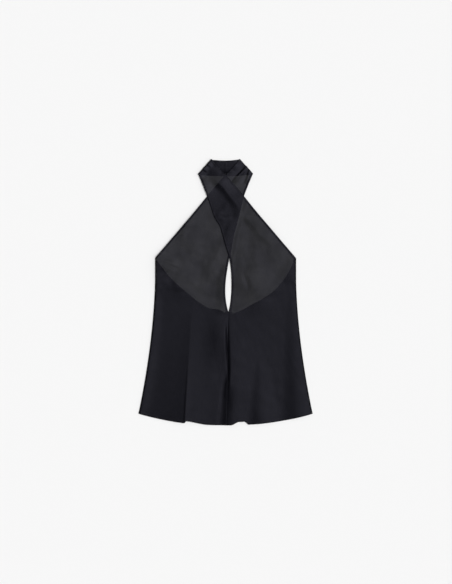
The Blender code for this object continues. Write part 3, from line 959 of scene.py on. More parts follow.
@dataclass(frozen=True)
class Stitching:
    """A row of lockstitches. Each one rises out of the cloth, lies on it and goes down again.

    A station is a ring of the thread: how far along the stitch it is, as a share of its length, and how far
    up and how wide it is, in thicknesses of the thread.
    """

    inset: float
    length: float = 0.0022
    pitch: float = 0.0029
    thread: float = 0.00013
    proud: float = 0.00008
    sides: int = 6
    stations: tuple[tuple[float, float, float], ...] = (
        (-0.50, -1.5, 0.5), (-0.40, 0.0, 1.0), (0.0, 0.25, 1.0), (0.40, 0.0, 1.0), (0.50, -1.5, 0.5),
    )

    def stitch(self) -> tuple[Array, list[list[int]]]:
        """Makes one stitch.

        Returns:
            Its points, as how far along it, across it and up, and the corners of its faces.
        """
        turns = np.arange(self.sides) * 2 * math.pi / self.sides
        rings = [
            [
                (along * self.length, math.cos(turn) * self.thread * wide,
                 self.thread * (up + math.sin(turn) * wide)) for turn in turns
            ]
            for along, up, wide in self.stations
        ]
        at = np.arange(len(rings) * self.sides).reshape(len(rings), self.sides)
        ahead = np.roll(at, -1, axis=1)
        walls = np.stack([at[:-1], ahead[:-1], ahead[1:], at[1:]], axis=2).reshape(-1, 4)
        faces = [list(face[::-1]) for face in walls] + [list(at[0]), list(at[-1][::-1])]
        return np.array(rings).reshape(-1, 3), faces

    def run(self, mesh: Mesh, rails: Rails, face: float) -> None:
        """Sews a row along the rails.

        Args:
            mesh: The mesh that gathers the stitches.
            rails: The edge that the row follows.
            face: How far the cloth's surface lies from its middle.
        """
        places, normals, flat = rails.at(self.inset, face + self.proud - self.thread)
        steps = np.linalg.norm(np.diff(places, axis=0), axis=1)
        walked = np.concatenate(([0.0], np.cumsum(steps)))
        stops = np.arange(self.pitch / 2, walked[-1], self.pitch)
        ends = np.stack([stops - self.length / 2, stops + self.length / 2])

        def read(values: Array, stop: Array) -> Array:
            """The values at stops along the row."""
            return np.stack([np.interp(stop, walked, column) for column in values.T], axis=-1)

        up = unit(read(normals, stops))
        along = unit(read(places, ends[1]) - read(places, ends[0]))
        across = np.cross(up, along)
        points, faces = self.stitch()
        middles, cut = read(places, stops), read(flat, stops)
        for i in range(len(stops)):
            axes = np.stack([along[i], across[i], up[i]])
            mesh.add(middles[i] + points @ axes, faces, np.tile(cut[i], (len(points), 1)))


# Panels -------------------------------------------------------------------------------------------


class Roll(NamedTuple):
    """How the cloth rolls down into a seam: how deep, and from how far off."""

    depth: float
    reach: float

    def relief(self, inset: Array) -> Array:
        """How far it raises the cloth, which is less than 0, this far in from the seam."""
        return -self.depth * (1 - smooth(inset / self.reach)) ** 2


@dataclass(frozen=True)
class Sewing:
    """How the cloth is sewn: its thickness, its turned edges and how they and the seams shape it."""

    sheet: float = 0.0004
    face: float = 0.00055
    hem: Turning = Turning(TurnKind.HEM, 0.0090)
    narrow_hem: Turning = Turning(TurnKind.HEM, 0.0052)
    seam: Turning = Turning(TurnKind.SEAM, 0.0090)
    side: Turning = Turning(TurnKind.SIDE, 0.0080)
    stitch_in: float = 0.0009
    puff: float = 0.00012
    groove: float = 0.00014
    groove_width: float = 0.0008
    edge_roll: float = 0.00026
    edge_roll_reach: float = 0.0009
    centre_seam: Roll = Roll(0.0003, 0.0022)
    side_seam: Roll = Roll(0.0009, 0.0045)
    neck_seam: Roll = Roll(0.0002, 0.0015)
    back_side_seam: Roll = Roll(0.0005, 0.0045)

    def hem_relief(self, inset: Array, width: float) -> Array:
        """Finds how a turned hem raises the cloth over it, with the groove that its stitches draw.

        Args:
            inset: How far in from the edge the points lie.
            width: How wide the hem is.

        Returns:
            How far the cloth is raised at each point.
        """
        inside = np.clip(inset / width, 0, 1)
        puffed = self.puff * np.sin(math.pi * inside)
        groove = self.groove * bump((inset - width + self.stitch_in) / self.groove_width)
        return puffed - groove - self.edge_roll * (1 - smooth(inset / self.edge_roll_reach))


# How far in the first columns and the first rows lie, close enough to shape a turned edge.
EDGE_STEPS = np.array([0, 0.0004, 0.0009, 0.0016, 0.0025, 0.0034, 0.0043, 0.0052, 0.0064, 0.0080])
FOOT_STEPS = np.array([0, 0.0004, 0.0010, 0.0020, 0.0035, 0.0050, 0.0065, 0.0079, 0.0090, 0.0104, 0.0125])


@dataclass
class Panel:
    """A panel of the garment, which is made as a sheet of cloth with its turned edges and stitches."""

    name: str
    node: str
    flat_size: tuple[float, float]
    flat_area: float
    rests_on: tuple[str, ...]
    lay: Lay
    sewing: Sewing

    def sew(
        self, grid: ClothGrid, turned: dict[str, tuple[Turning, Rails, Array | None]],
        rows: Sequence[tuple[Stitching, Rails]], finishes: "Finishes",
    ) -> bpy.types.Object:
        """Args:
            grid: The panel's cloth.
            turned: By the name of the piece, each turning with its edge and, where they vary, its widths.
            rows: The rows of stitches, each with the edge that it follows.
            finishes: The materials of the garment.

        Returns:
            The panel's object.
        """
        cloth = grid.shell(self.sewing.face, self.sewing.sheet).place(f"{self.name}_cloth", finishes.satin)
        pieces = [
            turning.run(rails, widths).place(f"{self.name}_{part}", finishes.turned)
            for part, (turning, rails, widths) in turned.items()
        ]
        stitches = Mesh()
        for row, rails in rows:
            row.run(stitches, rails, self.sewing.face)
        pieces.append(stitches.place(f"{self.name}_stitches", finishes.thread))
        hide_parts(self.node)
        return cloth


class Rung(NamedTuple):
    """A line across a front panel, from its inner edge to its outer edge, and the rows up to it."""

    inner_rise: float
    outer_rise: float
    rows: int


@dataclass
class FrontPanel(Panel):
    """One front panel, cut in one with the strap that folds round the neck."""

    cut: FrontCut
    folds: tuple[Fold, ...]
    underside: Callable[[Array, Array], Array]
    inner_columns: int = 122
    strap_rows: int = 26
    wrap_rows: int = 12
    band_rows: int = 24
    fold_radius: float = 0.0009
    fold_ease: float = 0.0160
    band_curl: float = 0.0016
    curl_from: float = 0.80
    curl_width: float = 0.20
    hems_apart: float = 0.0012
    hem_widening: float = 3.0
    rungs: tuple[Rung, ...] = (
        Rung(0.3050, 0.3300, 102),
        Rung(0.3980, 0.4500, 34),
        Rung(0.4522, 0.4985, 20),
        Rung(0.6166, 0.6600, 62),
    )
    body_rows: int = field(default=0, init=False)
    foot_row: int = field(default=0, init=False)
    arm_row: int = field(default=0, init=False)

    def fold_axis(self) -> tuple[Array, Array, Array]:
        """Finds the line that the strap folds about.

        Returns:
            Its lower end, its upper end and the way out across it.
        """
        cut, sign, inset = self.cut.outline, self.cut.side.value, self.fold_radius + self.lay.room
        low = np.array((-sign * cut.strap_low_corner.x, cut.strap_low_corner.rise))
        top = np.array((-sign * cut.strap_top_corner.x, cut.strap_top_corner.rise))
        line = unit(top - low)
        out = np.array((line[1], -line[0])) * -sign
        inner_way = unit(low - np.array(cut.keyhole_head))
        outer_way = unit(top - np.array((sign * cut.underarm_half, cut.underarm_rise)))
        return low - inner_way * inset / (inner_way @ out), top - outer_way * inset / (outer_way @ out), out

    def ends(self) -> tuple[Array, Array, Array]:
        """Sets out the rows from the hem to the neck.

        Returns:
            Their inner ends, their outer ends and how much each row follows the hem, from 1 to 0.
        """
        low_axis, top_axis, _ = self.fold_axis()
        inner_rises, follow = [np.zeros(1)], [np.ones(1)]
        outer_rises = [np.full(1, self.cut.outline.hem_corner_rise)]
        for i, rung in enumerate(self.rungs):
            share = np.arange(1, rung.rows + 1) / rung.rows
            if i == 0:
                near = FOOT_STEPS[1:] / rung.inner_rise
                far = np.linspace(near[-1], 1, rung.rows - len(near) + 1)[1:]
                share = np.concatenate((near, far))
            inner_rises.append(mix(inner_rises[-1][-1], rung.inner_rise, share))
            outer_rises.append(mix(outer_rises[-1][-1], rung.outer_rise, share))
            follow.append((1 - share) ** 2 if i == 0 else np.zeros(rung.rows))
        share = np.arange(1, self.strap_rows) / self.strap_rows
        inner = np.concatenate(inner_rises + [mix(inner_rises[-1][-1], low_axis[1], share)])
        outer = np.concatenate(outer_rises + [mix(outer_rises[-1][-1], top_axis[1], share)])
        follow = np.concatenate(follow + [np.zeros(self.strap_rows)])
        inner_ends = np.stack([self.cut.inner_x(inner), inner], axis=1)
        outer_ends = np.stack([self.cut.outer_x(outer), outer], axis=1)
        return np.vstack([inner_ends, low_axis]), np.vstack([outer_ends, top_axis]), follow

    def columns(self, widths: Array) -> Array:
        """Spaces the points of each row, close together by its edges and then evenly.

        Args:
            widths: How wide each row is.

        Returns:
            Where the points lie across each row, from 0 to 1.
        """
        near = EDGE_STEPS / widths[:, None]
        share = np.arange(1, self.inner_columns + 1) / (self.inner_columns + 1)
        between = mix(near[:, -1:], 1 - near[:, -1:], share)
        return np.concatenate((near, between, 1 - near[:, ::-1]), axis=1)

    def body(self) -> tuple[Array, Array]:
        """Lays the cloth from the hem to the strap's fold.

        Returns:
            The middle of the cloth, and where the points of its last row lie across it.
        """
        cut = self.cut.outline
        inner, outer, follow = self.ends()
        across = self.columns(np.linalg.norm(outer - inner, axis=1))
        plan = mix(inner[:, None], outer[:, None], across[..., None])
        straight = mix(0, cut.hem_corner_rise, across)
        x = plan[..., 0]
        plan[..., 1] += follow[:, None] * (cut.hem_arc(x, 0) + cut.hem_notch(x) - straight)
        low_axis, _, out = self.fold_axis()
        near = 1 - smooth(-(plan - low_axis) @ out / self.fold_ease)
        rise = plan[..., 1]
        creased = sum(fold.lift(x, rise) for fold in self.folds if isinstance(fold, Crease))
        at_fold = self.lay.room + 2 * self.fold_radius + creased / 2
        height = mix(self.underside(x, rise), at_fold, near) + self.lay.room / 2
        return np.concatenate((plan, height[..., None]), axis=2), across[-1]

    def wrap(self, last_row: Array) -> Array:
        """Carries the strap round its fold, from the front layer down to the back one.

        Args:
            last_row: The last row of the cloth before the fold.

        Returns:
            The rows round the fold.
        """
        out = np.array((*self.fold_axis()[2], 0.0))
        half = self.lay.face_down
        radius = (last_row[:, 2:] - half) / 2
        centre = np.concatenate((last_row[:, :2], half + radius), axis=1)
        turn = math.pi * np.arange(1, self.wrap_rows + 1)[:, None, None] / self.wrap_rows
        return centre + out * radius * np.sin(turn) + np.array((0, 0, 1.0)) * radius * np.cos(turn)

    def band(self, across: Array) -> Array:
        """Lays the strap behind the neck, where its upper edge curls up a little.

        Args:
            across: Where the points of its rows lie across it.

        Returns:
            The rows from the strap's fold to the centre back seam.
        """
        cut = self.cut.outline
        low_axis, top_axis, _ = self.fold_axis()
        share = np.arange(1, self.band_rows + 1) / self.band_rows
        seam, bend = -self.cut.side.value * cut.seam_gap / 2, (1 - share) ** 2
        low = np.stack([mix(low_axis[0], seam, share), mix(cut.band_low_rise, low_axis[1], bend)], axis=1)
        top = np.stack([mix(top_axis[0], seam, share), mix(cut.band_top_rise, top_axis[1], bend)], axis=1)
        plan = mix(low[:, None], top[:, None], across[:, None])
        curl = self.band_curl * smooth((across - self.curl_from) / self.curl_width)
        height = self.lay.face_down + curl * smooth(share[:, None] * 2)
        return np.concatenate((plan, height[..., None]), axis=2)

    def flat_cut(self, middle: Array) -> Array:
        """Lays the strap straight out across its fold.

        Args:
            middle: The middle of the cloth, row by row.

        Returns:
            Where each of its points was in the flat cut.
        """
        low_axis, _, out = self.fold_axis()
        flat, past_wrap = middle[..., :2].copy(), self.body_rows + self.wrap_rows
        last = flat[self.body_rows - 1]
        steps = np.linalg.norm(np.diff(middle[self.body_rows - 1:past_wrap], axis=0), axis=2)
        walked = np.cumsum(steps, axis=0)[..., None]
        flat[self.body_rows:past_wrap] = last + out * walked
        behind = flat[past_wrap:]
        inside = (behind - low_axis) @ out
        behind += out * (walked[-1] - 2 * inside[..., None])
        return flat

    def grid(self) -> ClothGrid:
        """Lays the whole panel, with the relief of its turned edges and seams.

        Returns:
            The panel's cloth.
        """
        cut, sew = self.cut.outline, self.sewing
        body, across = self.body()
        middle = np.concatenate((body, self.wrap(body[-1]), self.band(across)))
        rise = middle[..., 1].copy()
        self.body_rows = len(body)
        self.foot_row = int(np.argmax(rise[:, 0] > cut.keyhole_foot.rise - HAIR))
        self.arm_row = int(np.argmax(rise[:, -1] > cut.underarm_rise - HAIR))
        row = np.arange(len(rise))[:, None]
        upright = np.zeros(rise.shape, bool)
        upright[:, 0] = (rise[:, 0] < cut.keyhole_foot.rise) & (row[:, 0] < self.body_rows / 2)
        made = ClothGrid(middle, self.flat_cut(middle), self.cut.side.value, upright)
        sides = (
            (made.from_edge(Edge.INNER), self.foot_row, sew.centre_seam),
            (made.from_edge(Edge.OUTER), self.arm_row, sew.side_seam),
        )
        lift = sew.hem_relief(made.from_edge(Edge.FOOT), sew.hem.width)
        for inset, hem_start, seam in sides:
            hem = sew.hem_relief(inset, sew.narrow_hem.width)
            lift += np.where(row >= hem_start, hem, seam.relief(inset))
        lift += sew.neck_seam.relief(made.from_edge(Edge.HEAD))
        made.lift(lift)
        made.middle[..., 1] += cut.foot_y
        return made

    def strap_hems(self, grid: ClothGrid) -> Array:
        """Finds how wide the outer edge is turned: behind the neck, nearly to the inner edge's hem.

        Args:
            grid: The panel's cloth.

        Returns:
            The width at each row.
        """
        narrow, rows = self.sewing.narrow_hem.width, np.arange(len(grid.middle))
        behind = (rows - self.body_rows - self.wrap_rows) / self.band_rows
        spans = grid.from_edge(Edge.INNER)[:, -1]
        return mix(narrow, spans - narrow - self.hems_apart, smooth(behind * self.hem_widening))

    def build(self, finishes: "Finishes") -> bpy.types.Object:
        """Builds the panel with its turned edges and stitches.

        Args:
            finishes: The materials of the garment.

        Returns:
            The panel's object.
        """
        sew, grid = self.sewing, self.grid()
        foot = grid.rails(Edge.FOOT)
        keyhole = grid.rails(Edge.INNER, self.foot_row)
        armhole = grid.rails(Edge.OUTER, self.arm_row)
        turned = {
            "hem": (sew.hem, foot, None),
            "keyhole_hem": (sew.narrow_hem, keyhole, None),
            "armhole_hem": (sew.narrow_hem, armhole, self.strap_hems(grid)[self.arm_row:]),
            "centre_seam": (sew.seam, grid.rails(Edge.INNER, 0, self.foot_row + 1), None),
            "side_seam": (sew.side, grid.rails(Edge.OUTER, 0, self.arm_row + 1), None),
        }
        narrow = Stitching(sew.narrow_hem.width - sew.stitch_in)
        rows = ((Stitching(sew.hem.width - sew.stitch_in), foot), (narrow, keyhole), (narrow, armhole))
        return self.sew(grid, turned, rows, finishes)


@dataclass
class BackPanel(Panel):
    """The low back panel, flat on the floor with its right side down."""

    outline: Outline
    inner_columns: int = 118
    rows: int = 118
    ripple: Ripple = Ripple(0.0006, 37)
    ripple_reach: float = 0.02
    stitches_proud: float = 0.00004

    def grid(self) -> ClothGrid:
        """Lays the panel from side seam to side seam and from hem to neckline.

        Returns:
            The panel's cloth.
        """
        cut, sew = self.outline, self.sewing
        near = EDGE_STEPS / (2 * cut.underarm_half)
        between = mix(near[-1], 1 - near[-1], np.arange(1, self.inner_columns + 1) / (self.inner_columns + 1))
        across = 2 * np.concatenate((near, between, 1 - near[::-1])) - 1
        climb = cut.underarm_rise - cut.hem_corner_rise
        up = np.concatenate((
            FOOT_STEPS / climb,
            np.linspace(FOOT_STEPS[-1] / climb, 1 - EDGE_STEPS[-1] / climb, self.rows)[1:-1],
            1 - EDGE_STEPS[::-1] / climb,
        ))
        hem = cut.hem_arc(across * cut.hem_half, cut.back_hem_rise)
        rise = mix(hem, cut.scoop_rise(across * cut.underarm_half), up[:, None])
        x = across * cut.side_x(rise)
        rippled = self.ripple.lift(x, rise) * smooth(cut.from_side(x, rise) / self.ripple_reach)
        middle = np.stack([x, rise, self.lay.face_down + rippled], axis=2)
        made = ClothGrid(middle, np.stack([x, rise], axis=2), -1)
        lift = sew.hem_relief(made.from_edge(Edge.FOOT), sew.hem.width)
        lift += sew.hem_relief(made.from_edge(Edge.HEAD), sew.narrow_hem.width)
        for edge in (Edge.INNER, Edge.OUTER):
            lift += sew.back_side_seam.relief(made.from_edge(edge))
        made.lift(lift)
        made.middle[..., 1] += cut.foot_y
        return made

    def build(self, finishes: "Finishes") -> bpy.types.Object:
        """Builds the panel with its turned edges and stitches.

        Args:
            finishes: The materials of the garment.

        Returns:
            The panel's object.
        """
        sew, grid = self.sewing, self.grid()
        foot, neck = grid.rails(Edge.FOOT), grid.rails(Edge.HEAD)
        turned = {"hem": (sew.hem, foot, None), "neckline_hem": (sew.narrow_hem, neck, None)}
        rows = [
            (Stitching(turning.width - sew.stitch_in, proud=self.stitches_proud), rails)
            for turning, rails, _ in turned.values()
        ]
        return self.sew(grid, turned, rows, finishes)


# Finishes -------------------------------------------------------------------------------------------


class Shade:
    """A number in a shader that Python sums can use."""

    def __init__(self, bench: "Bench", socket: bpy.types.NodeSocket) -> None:
        """Wraps a node's output."""
        self.bench = bench
        self.socket = socket

    def _sum(self, operation: str, *values: "Shade | float") -> "Shade":
        """Adds a Math node."""
        inputs = dict(enumerate(values))
        return self.bench.number("ShaderNodeMath", {"operation": operation}, inputs)

    def __add__(self, other: "Shade | float") -> "Shade":
        """self + other."""
        return self._sum("ADD", self, other)

    __radd__ = __add__

    def __sub__(self, other: "Shade | float") -> "Shade":
        """self - other."""
        return self._sum("SUBTRACT", self, other)

    def __rsub__(self, other: "Shade | float") -> "Shade":
        """other - self."""
        return self._sum("SUBTRACT", other, self)

    def __mul__(self, other: "Shade | float") -> "Shade":
        """self * other."""
        return self._sum("MULTIPLY", self, other)

    __rmul__ = __mul__

    def __truediv__(self, other: "Shade | float") -> "Shade":
        """self / other."""
        return self._sum("DIVIDE", self, other)

    def __rtruediv__(self, other: "Shade | float") -> "Shade":
        """other / self."""
        return self._sum("DIVIDE", other, self)

    def whole(self) -> "Shade":
        """The whole number below it."""
        return self._sum("FLOOR", self)

    def rest(self) -> "Shade":
        """What is left above the whole number."""
        return self._sum("FRACT", self)

    def distance_from(self, middle: float) -> "Shade":
        """How far it is from the middle."""
        return self._sum("ABSOLUTE", self - middle)

    def step(self, low: float, high: float) -> "Shade":
        """Steps softly from 0 to 1.

        Args:
            low: The value up to which the step is 0.
            high: The value from which it is 1.

        Returns:
            The step.
        """
        settings = {"interpolation_type": "SMOOTHSTEP"}
        inputs = {"Value": self, "From Min": low, "From Max": high, "To Min": 0.0, "To Max": 1.0}
        return self.bench.number("ShaderNodeMapRange", settings, inputs)


class Bench:
    """The node tree of one material."""

    def __init__(self, name: str) -> None:
        """Starts a material with only its surface shader.

        Args:
            name: The material's name.
        """
        self.material = bpy.data.materials.new(name)
        self.material.use_nodes = True
        self.tree = self.material.node_tree
        self.surface = self.tree.nodes["Principled BSDF"]

    def node(self, kind: str, settings: dict | None = None, inputs: dict | None = None) -> bpy.types.Node:
        """Makes a node.

        Args:
            kind: The node's type.
            settings: Its properties, set first.
            inputs: The values or links of its sockets, by name or number.

        Returns:
            The node.
        """
        made = self.tree.nodes.new(kind)
        for name, value in (settings or {}).items():
            setattr(made, name, value)
        for name, value in (inputs or {}).items():
            self.feed(made.inputs[name], value)
        return made

    def feed(self, socket: bpy.types.NodeSocket, value: object) -> None:
        """Links a socket, or sets its value.

        Args:
            socket: The socket to feed.
            value: A shader's number or a node's output to link, or a value to set.
        """
        if isinstance(value, Shade):
            self.tree.links.new(value.socket, socket)
        elif isinstance(value, bpy.types.NodeSocket):
            self.tree.links.new(value, socket)
        else:
            socket.default_value = value

    def number(self, kind: str, settings: dict | None = None, inputs: dict | None = None) -> Shade:
        """Makes a node and wraps its first output that is a number."""
        made = self.node(kind, settings, inputs)
        return Shade(self, next(out for out in made.outputs if out.type == "VALUE" and out.enabled))

    def axes(self, source: bpy.types.NodeSocket) -> tuple[Shade, Shade, Shade]:
        """The three numbers of a vector."""
        parts = self.node("ShaderNodeSeparateXYZ", None, {"Vector": source})
        return tuple(Shade(self, parts.outputs[axis]) for axis in "XYZ")

    def stretched(self, source: bpy.types.NodeSocket, across: float, along: float) -> bpy.types.NodeSocket:
        """Coordinates multiplied by a scale for X and one for Y."""
        scale = (across, along, 1.0)
        return self.node("ShaderNodeMapping", None, {"Vector": source, "Scale": scale}).outputs["Vector"]

    def noise(self, source: bpy.types.NodeSocket, scale: float, detail: float) -> Shade:
        """Soft noise from 0 to 1."""
        return self.number("ShaderNodeTexNoise", None, {"Vector": source, "Scale": scale, "Detail": detail})

    def blend(self, share: Shade, a: Colour, b: Colour) -> bpy.types.NodeSocket:
        """Mixes two colours.

        Args:
            share: How far it is from the first colour to the second, from 0 to 1.
            a: The first colour.
            b: The second colour.

        Returns:
            The output that carries the colour.
        """
        made = self.node("ShaderNodeMix", {"data_type": "RGBA"})
        colours = [socket for socket in made.inputs if socket.type == "RGBA"]
        self.feed(next(socket for socket in made.inputs if socket.type == "VALUE" and socket.enabled), share)
        for socket, colour in zip(colours, (a, b)):
            self.feed(socket, colour)
        return next(out for out in made.outputs if out.type == "RGBA")

    def dress(self, **values: object) -> None:
        """Sets or links the surface shader's sockets, named with _ for a space."""
        for name, value in values.items():
            self.feed(self.surface.inputs[name.replace("_", " ").title().replace("Ior", "IOR")], value)

    def roughen(self, height: Shade, depth: float, strength: float) -> None:
        """Gives the surface a bump of this height."""
        made = self.node("ShaderNodeBump", None, {"Height": height, "Distance": depth, "Strength": strength})
        self.feed(self.surface.inputs["Normal"], made.outputs["Normal"])


@dataclass(frozen=True)
class SatinFinish:
    """Black satin: fine warp floats with a slight slub, a soft sheen and a little light through it.

    Where it lies taut, raised by the straps towards the neck, it is smoother and shines more.
    """

    name: str
    alpha: float
    shadow: Colour = (0.0020, 0.0021, 0.0032, 1.0)
    light: Colour = (0.0034, 0.0035, 0.0050, 1.0)
    tone_shares: tuple[float, float, float] = (0.45, 0.20, 0.35)
    contrast: tuple[float, float] = (0.36, 0.64)
    roughness: float = 0.46
    roughness_spread: float = 0.10
    glow: float = 0.099
    unevenness: float = 0.14
    polish: float = 0.078
    taut_from_y: tuple[float, float] = (0.235, 0.300)
    taut_from_z: tuple[float, float] = (0.0016, 0.0034)
    tint: Colour = (0.80, 0.79, 1.0, 1.0)
    thread: float = 0.00034
    picks: int = 5
    pick_shift: float = 0.4
    thread_edge: tuple[float, float] = (0.15, 0.5)
    float_end: tuple[float, float] = (0.30, 0.48)
    float_dip: float = 0.7
    slub_scale: tuple[float, float] = (900.0, 55.0)
    cross_slub_scale: tuple[float, float] = (70.0, 1000.0)
    cloud_scale: float = 34.0
    sheer_scale: float = 19.0
    weave_depth: float = 0.00003
    slub_depth: float = 0.00006
    cross_slub_rise: float = 0.6
    bump_depth: float = 0.0001
    bump_strength: float = 0.5

    def make(self) -> bpy.types.Material:
        """Makes the material.

        Returns:
            The material, which reads the map of the weave and the Object coordinates.
        """
        bench = Bench(self.name)
        cut = bench.node("ShaderNodeUVMap", {"uv_map": WEAVE_MAP}).outputs["UV"]
        across, along = (way / self.thread for way in bench.axes(cut)[:2])
        ridge = 1 - across.rest().distance_from(0.5).step(*self.thread_edge)
        float_place = (along / self.picks + across.whole() * self.pick_shift).rest()
        dip = float_place.distance_from(0.5).step(*self.float_end)
        weave = ridge * (1 - dip * self.float_dip)
        slub = bench.noise(bench.stretched(cut, *self.slub_scale), scale=1.0, detail=3.0)
        cross_slub = bench.noise(bench.stretched(cut, *self.cross_slub_scale), scale=1.0, detail=2.0)
        cloud = bench.noise(cut, self.cloud_scale, detail=3.0)
        sheer = bench.noise(cut, self.sheer_scale, detail=4.0)
        slub_share, cross_share, cloud_share = self.tone_shares
        tone = slub * slub_share + cross_slub * cross_share + cloud * cloud_share
        _, y, z = bench.axes(bench.node("ShaderNodeTexCoord").outputs["Object"])
        taut = y.step(*self.taut_from_y) * z.step(*self.taut_from_z)
        smoothest = self.roughness - self.roughness_spread / 2
        bench.dress(
            base_color=bench.blend(tone.step(*self.contrast), self.shadow, self.light),
            roughness=smoothest + cloud * self.roughness_spread - taut * self.polish,
            alpha=self.alpha + (sheer - 0.5) * self.unevenness,
            metallic=0.0,
            specular_ior_level=self.glow,
            specular_tint=self.tint,
        )
        threads = weave * self.weave_depth + (slub + cross_slub * self.cross_slub_rise) * self.slub_depth
        bench.roughen(threads * (1 / self.bump_depth), self.bump_depth, self.bump_strength)
        return bench.material


@dataclass(frozen=True)
class GrainFinish:
    """A finish with a fine grain in its colour and its relief, and in its roughness where it has a gloss."""

    name: str
    colour: Colour
    speck: Colour
    scale: float
    detail: float
    roughness: float
    gloss: float
    glow: float
    depth: float
    strength: float

    def make(self) -> bpy.types.Material:
        """Makes the material.

        Returns:
            The material, which reads the Object coordinates.
        """
        bench = Bench(self.name)
        grain = bench.noise(bench.node("ShaderNodeTexCoord").outputs["Object"], self.scale, self.detail)
        bench.dress(
            base_color=bench.blend(grain, self.colour, self.speck),
            roughness=self.roughness - grain * self.gloss if self.gloss else self.roughness,
            specular_ior_level=self.glow,
        )
        bench.roughen(grain, self.depth, self.strength)
        return bench.material


@dataclass
class Finishes:
    """The materials of the garment and the floor."""

    satin: bpy.types.Material
    turned: bpy.types.Material
    thread: bpy.types.Material
    floor: bpy.types.Material

    @classmethod
    def make(cls) -> "Finishes":
        """Makes each material once.

        Returns:
            The materials.
        """
        thread = GrainFinish(
            "sewing_thread", (0.0035, 0.0035, 0.0045, 1.0), (0.0070, 0.0070, 0.0090, 1.0),
            scale=2600.0, detail=1.0, roughness=0.55, gloss=0.15, glow=0.14, depth=0.00003, strength=0.4,
        )
        floor = GrainFinish(
            "pale_floor", (0.778, 0.778, 0.778, 1.0), (0.793, 0.793, 0.793, 1.0),
            scale=300.0, detail=3.0, roughness=0.9, gloss=0.0, glow=0.2, depth=0.0001, strength=0.1,
        )
        return cls(
            satin=SatinFinish("black_satin", 0.637).make(),
            turned=SatinFinish("black_satin_turned", 0.87, glow=0.074).make(),
            thread=thread.make(),
            floor=floor.make(),
        )


# Studio -----------------------------------------------------------------------------------------------


class Lamp(NamedTuple):
    """A large, far, soft light: where it shines from, how wide it looks in degrees, and its strength."""

    name: str
    azimuth: float
    elevation: float
    width: float
    strength: float


@dataclass
class Studio:
    """The floor, the soft lights and the camera that looks straight down."""

    finishes: Finishes
    floor_half: float = 30.0
    world_light: float = 0.25
    lens: float = 80.0
    long_side: float = 1.5768
    aim: tuple[float, float] = (0.0012, 0.0)
    lamp_distance: float = 3.0
    lamps: tuple[Lamp, ...] = (
        Lamp("overhead_light", 15.0, 75.0, 32.0, 2.72),
        Lamp("side_light", -12.0, 40.0, 50.0, 0.5),
    )

    def floor(self) -> bpy.types.Object:
        """Lays the floor that the garment rests on.

        Returns:
            The floor's object.
        """
        bpy.ops.object.select_all(action="DESELECT")
        bpy.ops.mesh.primitive_plane_add(size=2 * self.floor_half)
        floor = bpy.context.object
        floor.name = "floor"
        floor.data.materials.append(self.finishes.floor)
        floor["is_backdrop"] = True
        return floor

    def light(self, lamp: Lamp) -> None:
        """Hangs a lamp, turned to shine on the middle of the floor.

        Args:
            lamp: The lamp, with its azimuth and elevation in degrees, where azimuth 0 is +X and 90 is +Y.
        """
        data = bpy.data.lights.new(lamp.name, "SUN")
        data.energy, data.angle = lamp.strength, math.radians(lamp.width)
        made = bpy.data.objects.new(lamp.name, data)
        turn, rise = math.radians(lamp.azimuth), math.radians(lamp.elevation)
        way = Vector((math.cos(turn) * math.cos(rise), math.sin(turn) * math.cos(rise), math.sin(rise)))
        made.location = way * self.lamp_distance
        made.rotation_mode = "QUATERNION"
        made.rotation_quaternion = (-way).to_track_quat("-Z", "Y")
        bpy.context.scene.collection.objects.link(made)

    def camera(self) -> None:
        """Hangs the camera over the garment, level, with the neck at the top of its view."""
        data = bpy.data.cameras.new("camera")
        data.lens = self.lens
        made = bpy.data.objects.new("camera", data)
        made.location = (*self.aim, self.long_side * self.lens / data.sensor_width)
        bpy.context.scene.collection.objects.link(made)
        bpy.context.scene.camera = made

    def build(self) -> None:
        """Sets up the studio."""
        scene = bpy.context.scene
        world = bpy.data.worlds.new("studio")
        world.use_nodes = True
        backdrop = world.node_tree.nodes["Background"]
        backdrop.inputs["Color"].default_value = (1.0, 1.0, 1.0, 1.0)
        backdrop.inputs["Strength"].default_value = self.world_light
        scene.world = world
        scene.view_settings.view_transform = "Standard"
        self.floor()
        for lamp in self.lamps:
            self.light(lamp)
        self.camera()


# The garment ------------------------------------------------------------------------------------------


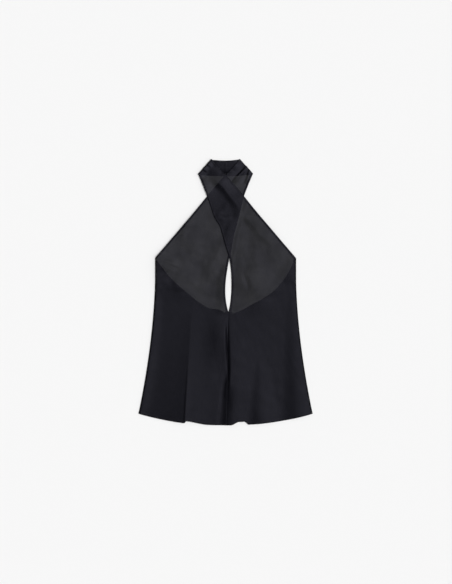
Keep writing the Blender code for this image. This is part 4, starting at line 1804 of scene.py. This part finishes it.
@dataclass
class HalterTop:
    """The whole garment: the back panel and the two fronts that cross over it."""

    outline: Outline
    finishes: Finishes
    sewing: Sewing = Sewing()

    def cuts(self) -> tuple[FrontCut, FrontCut]:
        """Cuts the two fronts, each with the lower edge of its strap.

        Returns:
            The left front's cut and the right one's.
        """
        head, neck = self.outline.keyhole_head, self.outline.strap_low_corner
        left_edge = through(
            head, (0.0010, 0.4814), (-0.0092, 0.5175), (-0.0155, 0.5372), (-0.0295, 0.5600),
            (-0.0394, 0.5885), (-0.0490, 0.6166), (-neck.x, neck.rise),
        )
        right_edge = through(
            head, (0.0158, 0.4751), (0.0218, 0.5084), (0.0292, 0.5383), (0.0414, 0.5859),
            (0.0490, 0.6166), neck,
        )
        return (
            FrontCut(
                self.outline, Side.LEFT, keyhole_bulge=0.0069, keyhole_skew=0.95, keyhole_fullness=0.80,
                strap_edge=left_edge,
            ),
            FrontCut(
                self.outline, Side.RIGHT, keyhole_bulge=-0.0099, keyhole_skew=0.80, keyhole_fullness=1.0,
                strap_edge=right_edge,
            ),
        )

    def build(self) -> None:
        """Builds the panels from the one that lies lowest to the one on top."""
        left, right = self.cuts()
        lay = Lay(self.outline, right)
        shared = {"lay": lay, "sewing": self.sewing}
        panels = (
            BackPanel(
                "back", "back", flat_size=(0.470, 0.4415), flat_area=0.1415, rests_on=("floor",),
                outline=self.outline, **shared,
            ),
            FrontPanel(
                "right_front", "front_right", flat_size=(0.325, 0.757), flat_area=0.1282,
                rests_on=("back_cloth", "floor"),
                cut=right, folds=RIGHT_FOLDS, underside=lay.right_underside, **shared,
            ),
            FrontPanel(
                "left_front", "front_left", flat_size=(0.325, 0.757), flat_area=0.1208,
                rests_on=("back_cloth", "right_front_cloth", "floor"),
                cut=left, folds=LEFT_FOLDS, underside=lay.left_underside, fold_radius=0.0025,
                **shared,
            ),
        )
        for panel in panels:
            panel.build(self.finishes)


def main() -> None:
    """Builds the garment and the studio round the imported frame."""
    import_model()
    cad_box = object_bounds()
    outline = Outline(foot_y=cad_box[0].y, hem_half=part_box("back")[1].x)
    finishes = Finishes.make()
    HalterTop(outline, finishes).build()
    Studio(finishes).build()


if __name__ == "__main__":
    logging.basicConfig(level=logging.INFO, format="%(message)s")
    main()
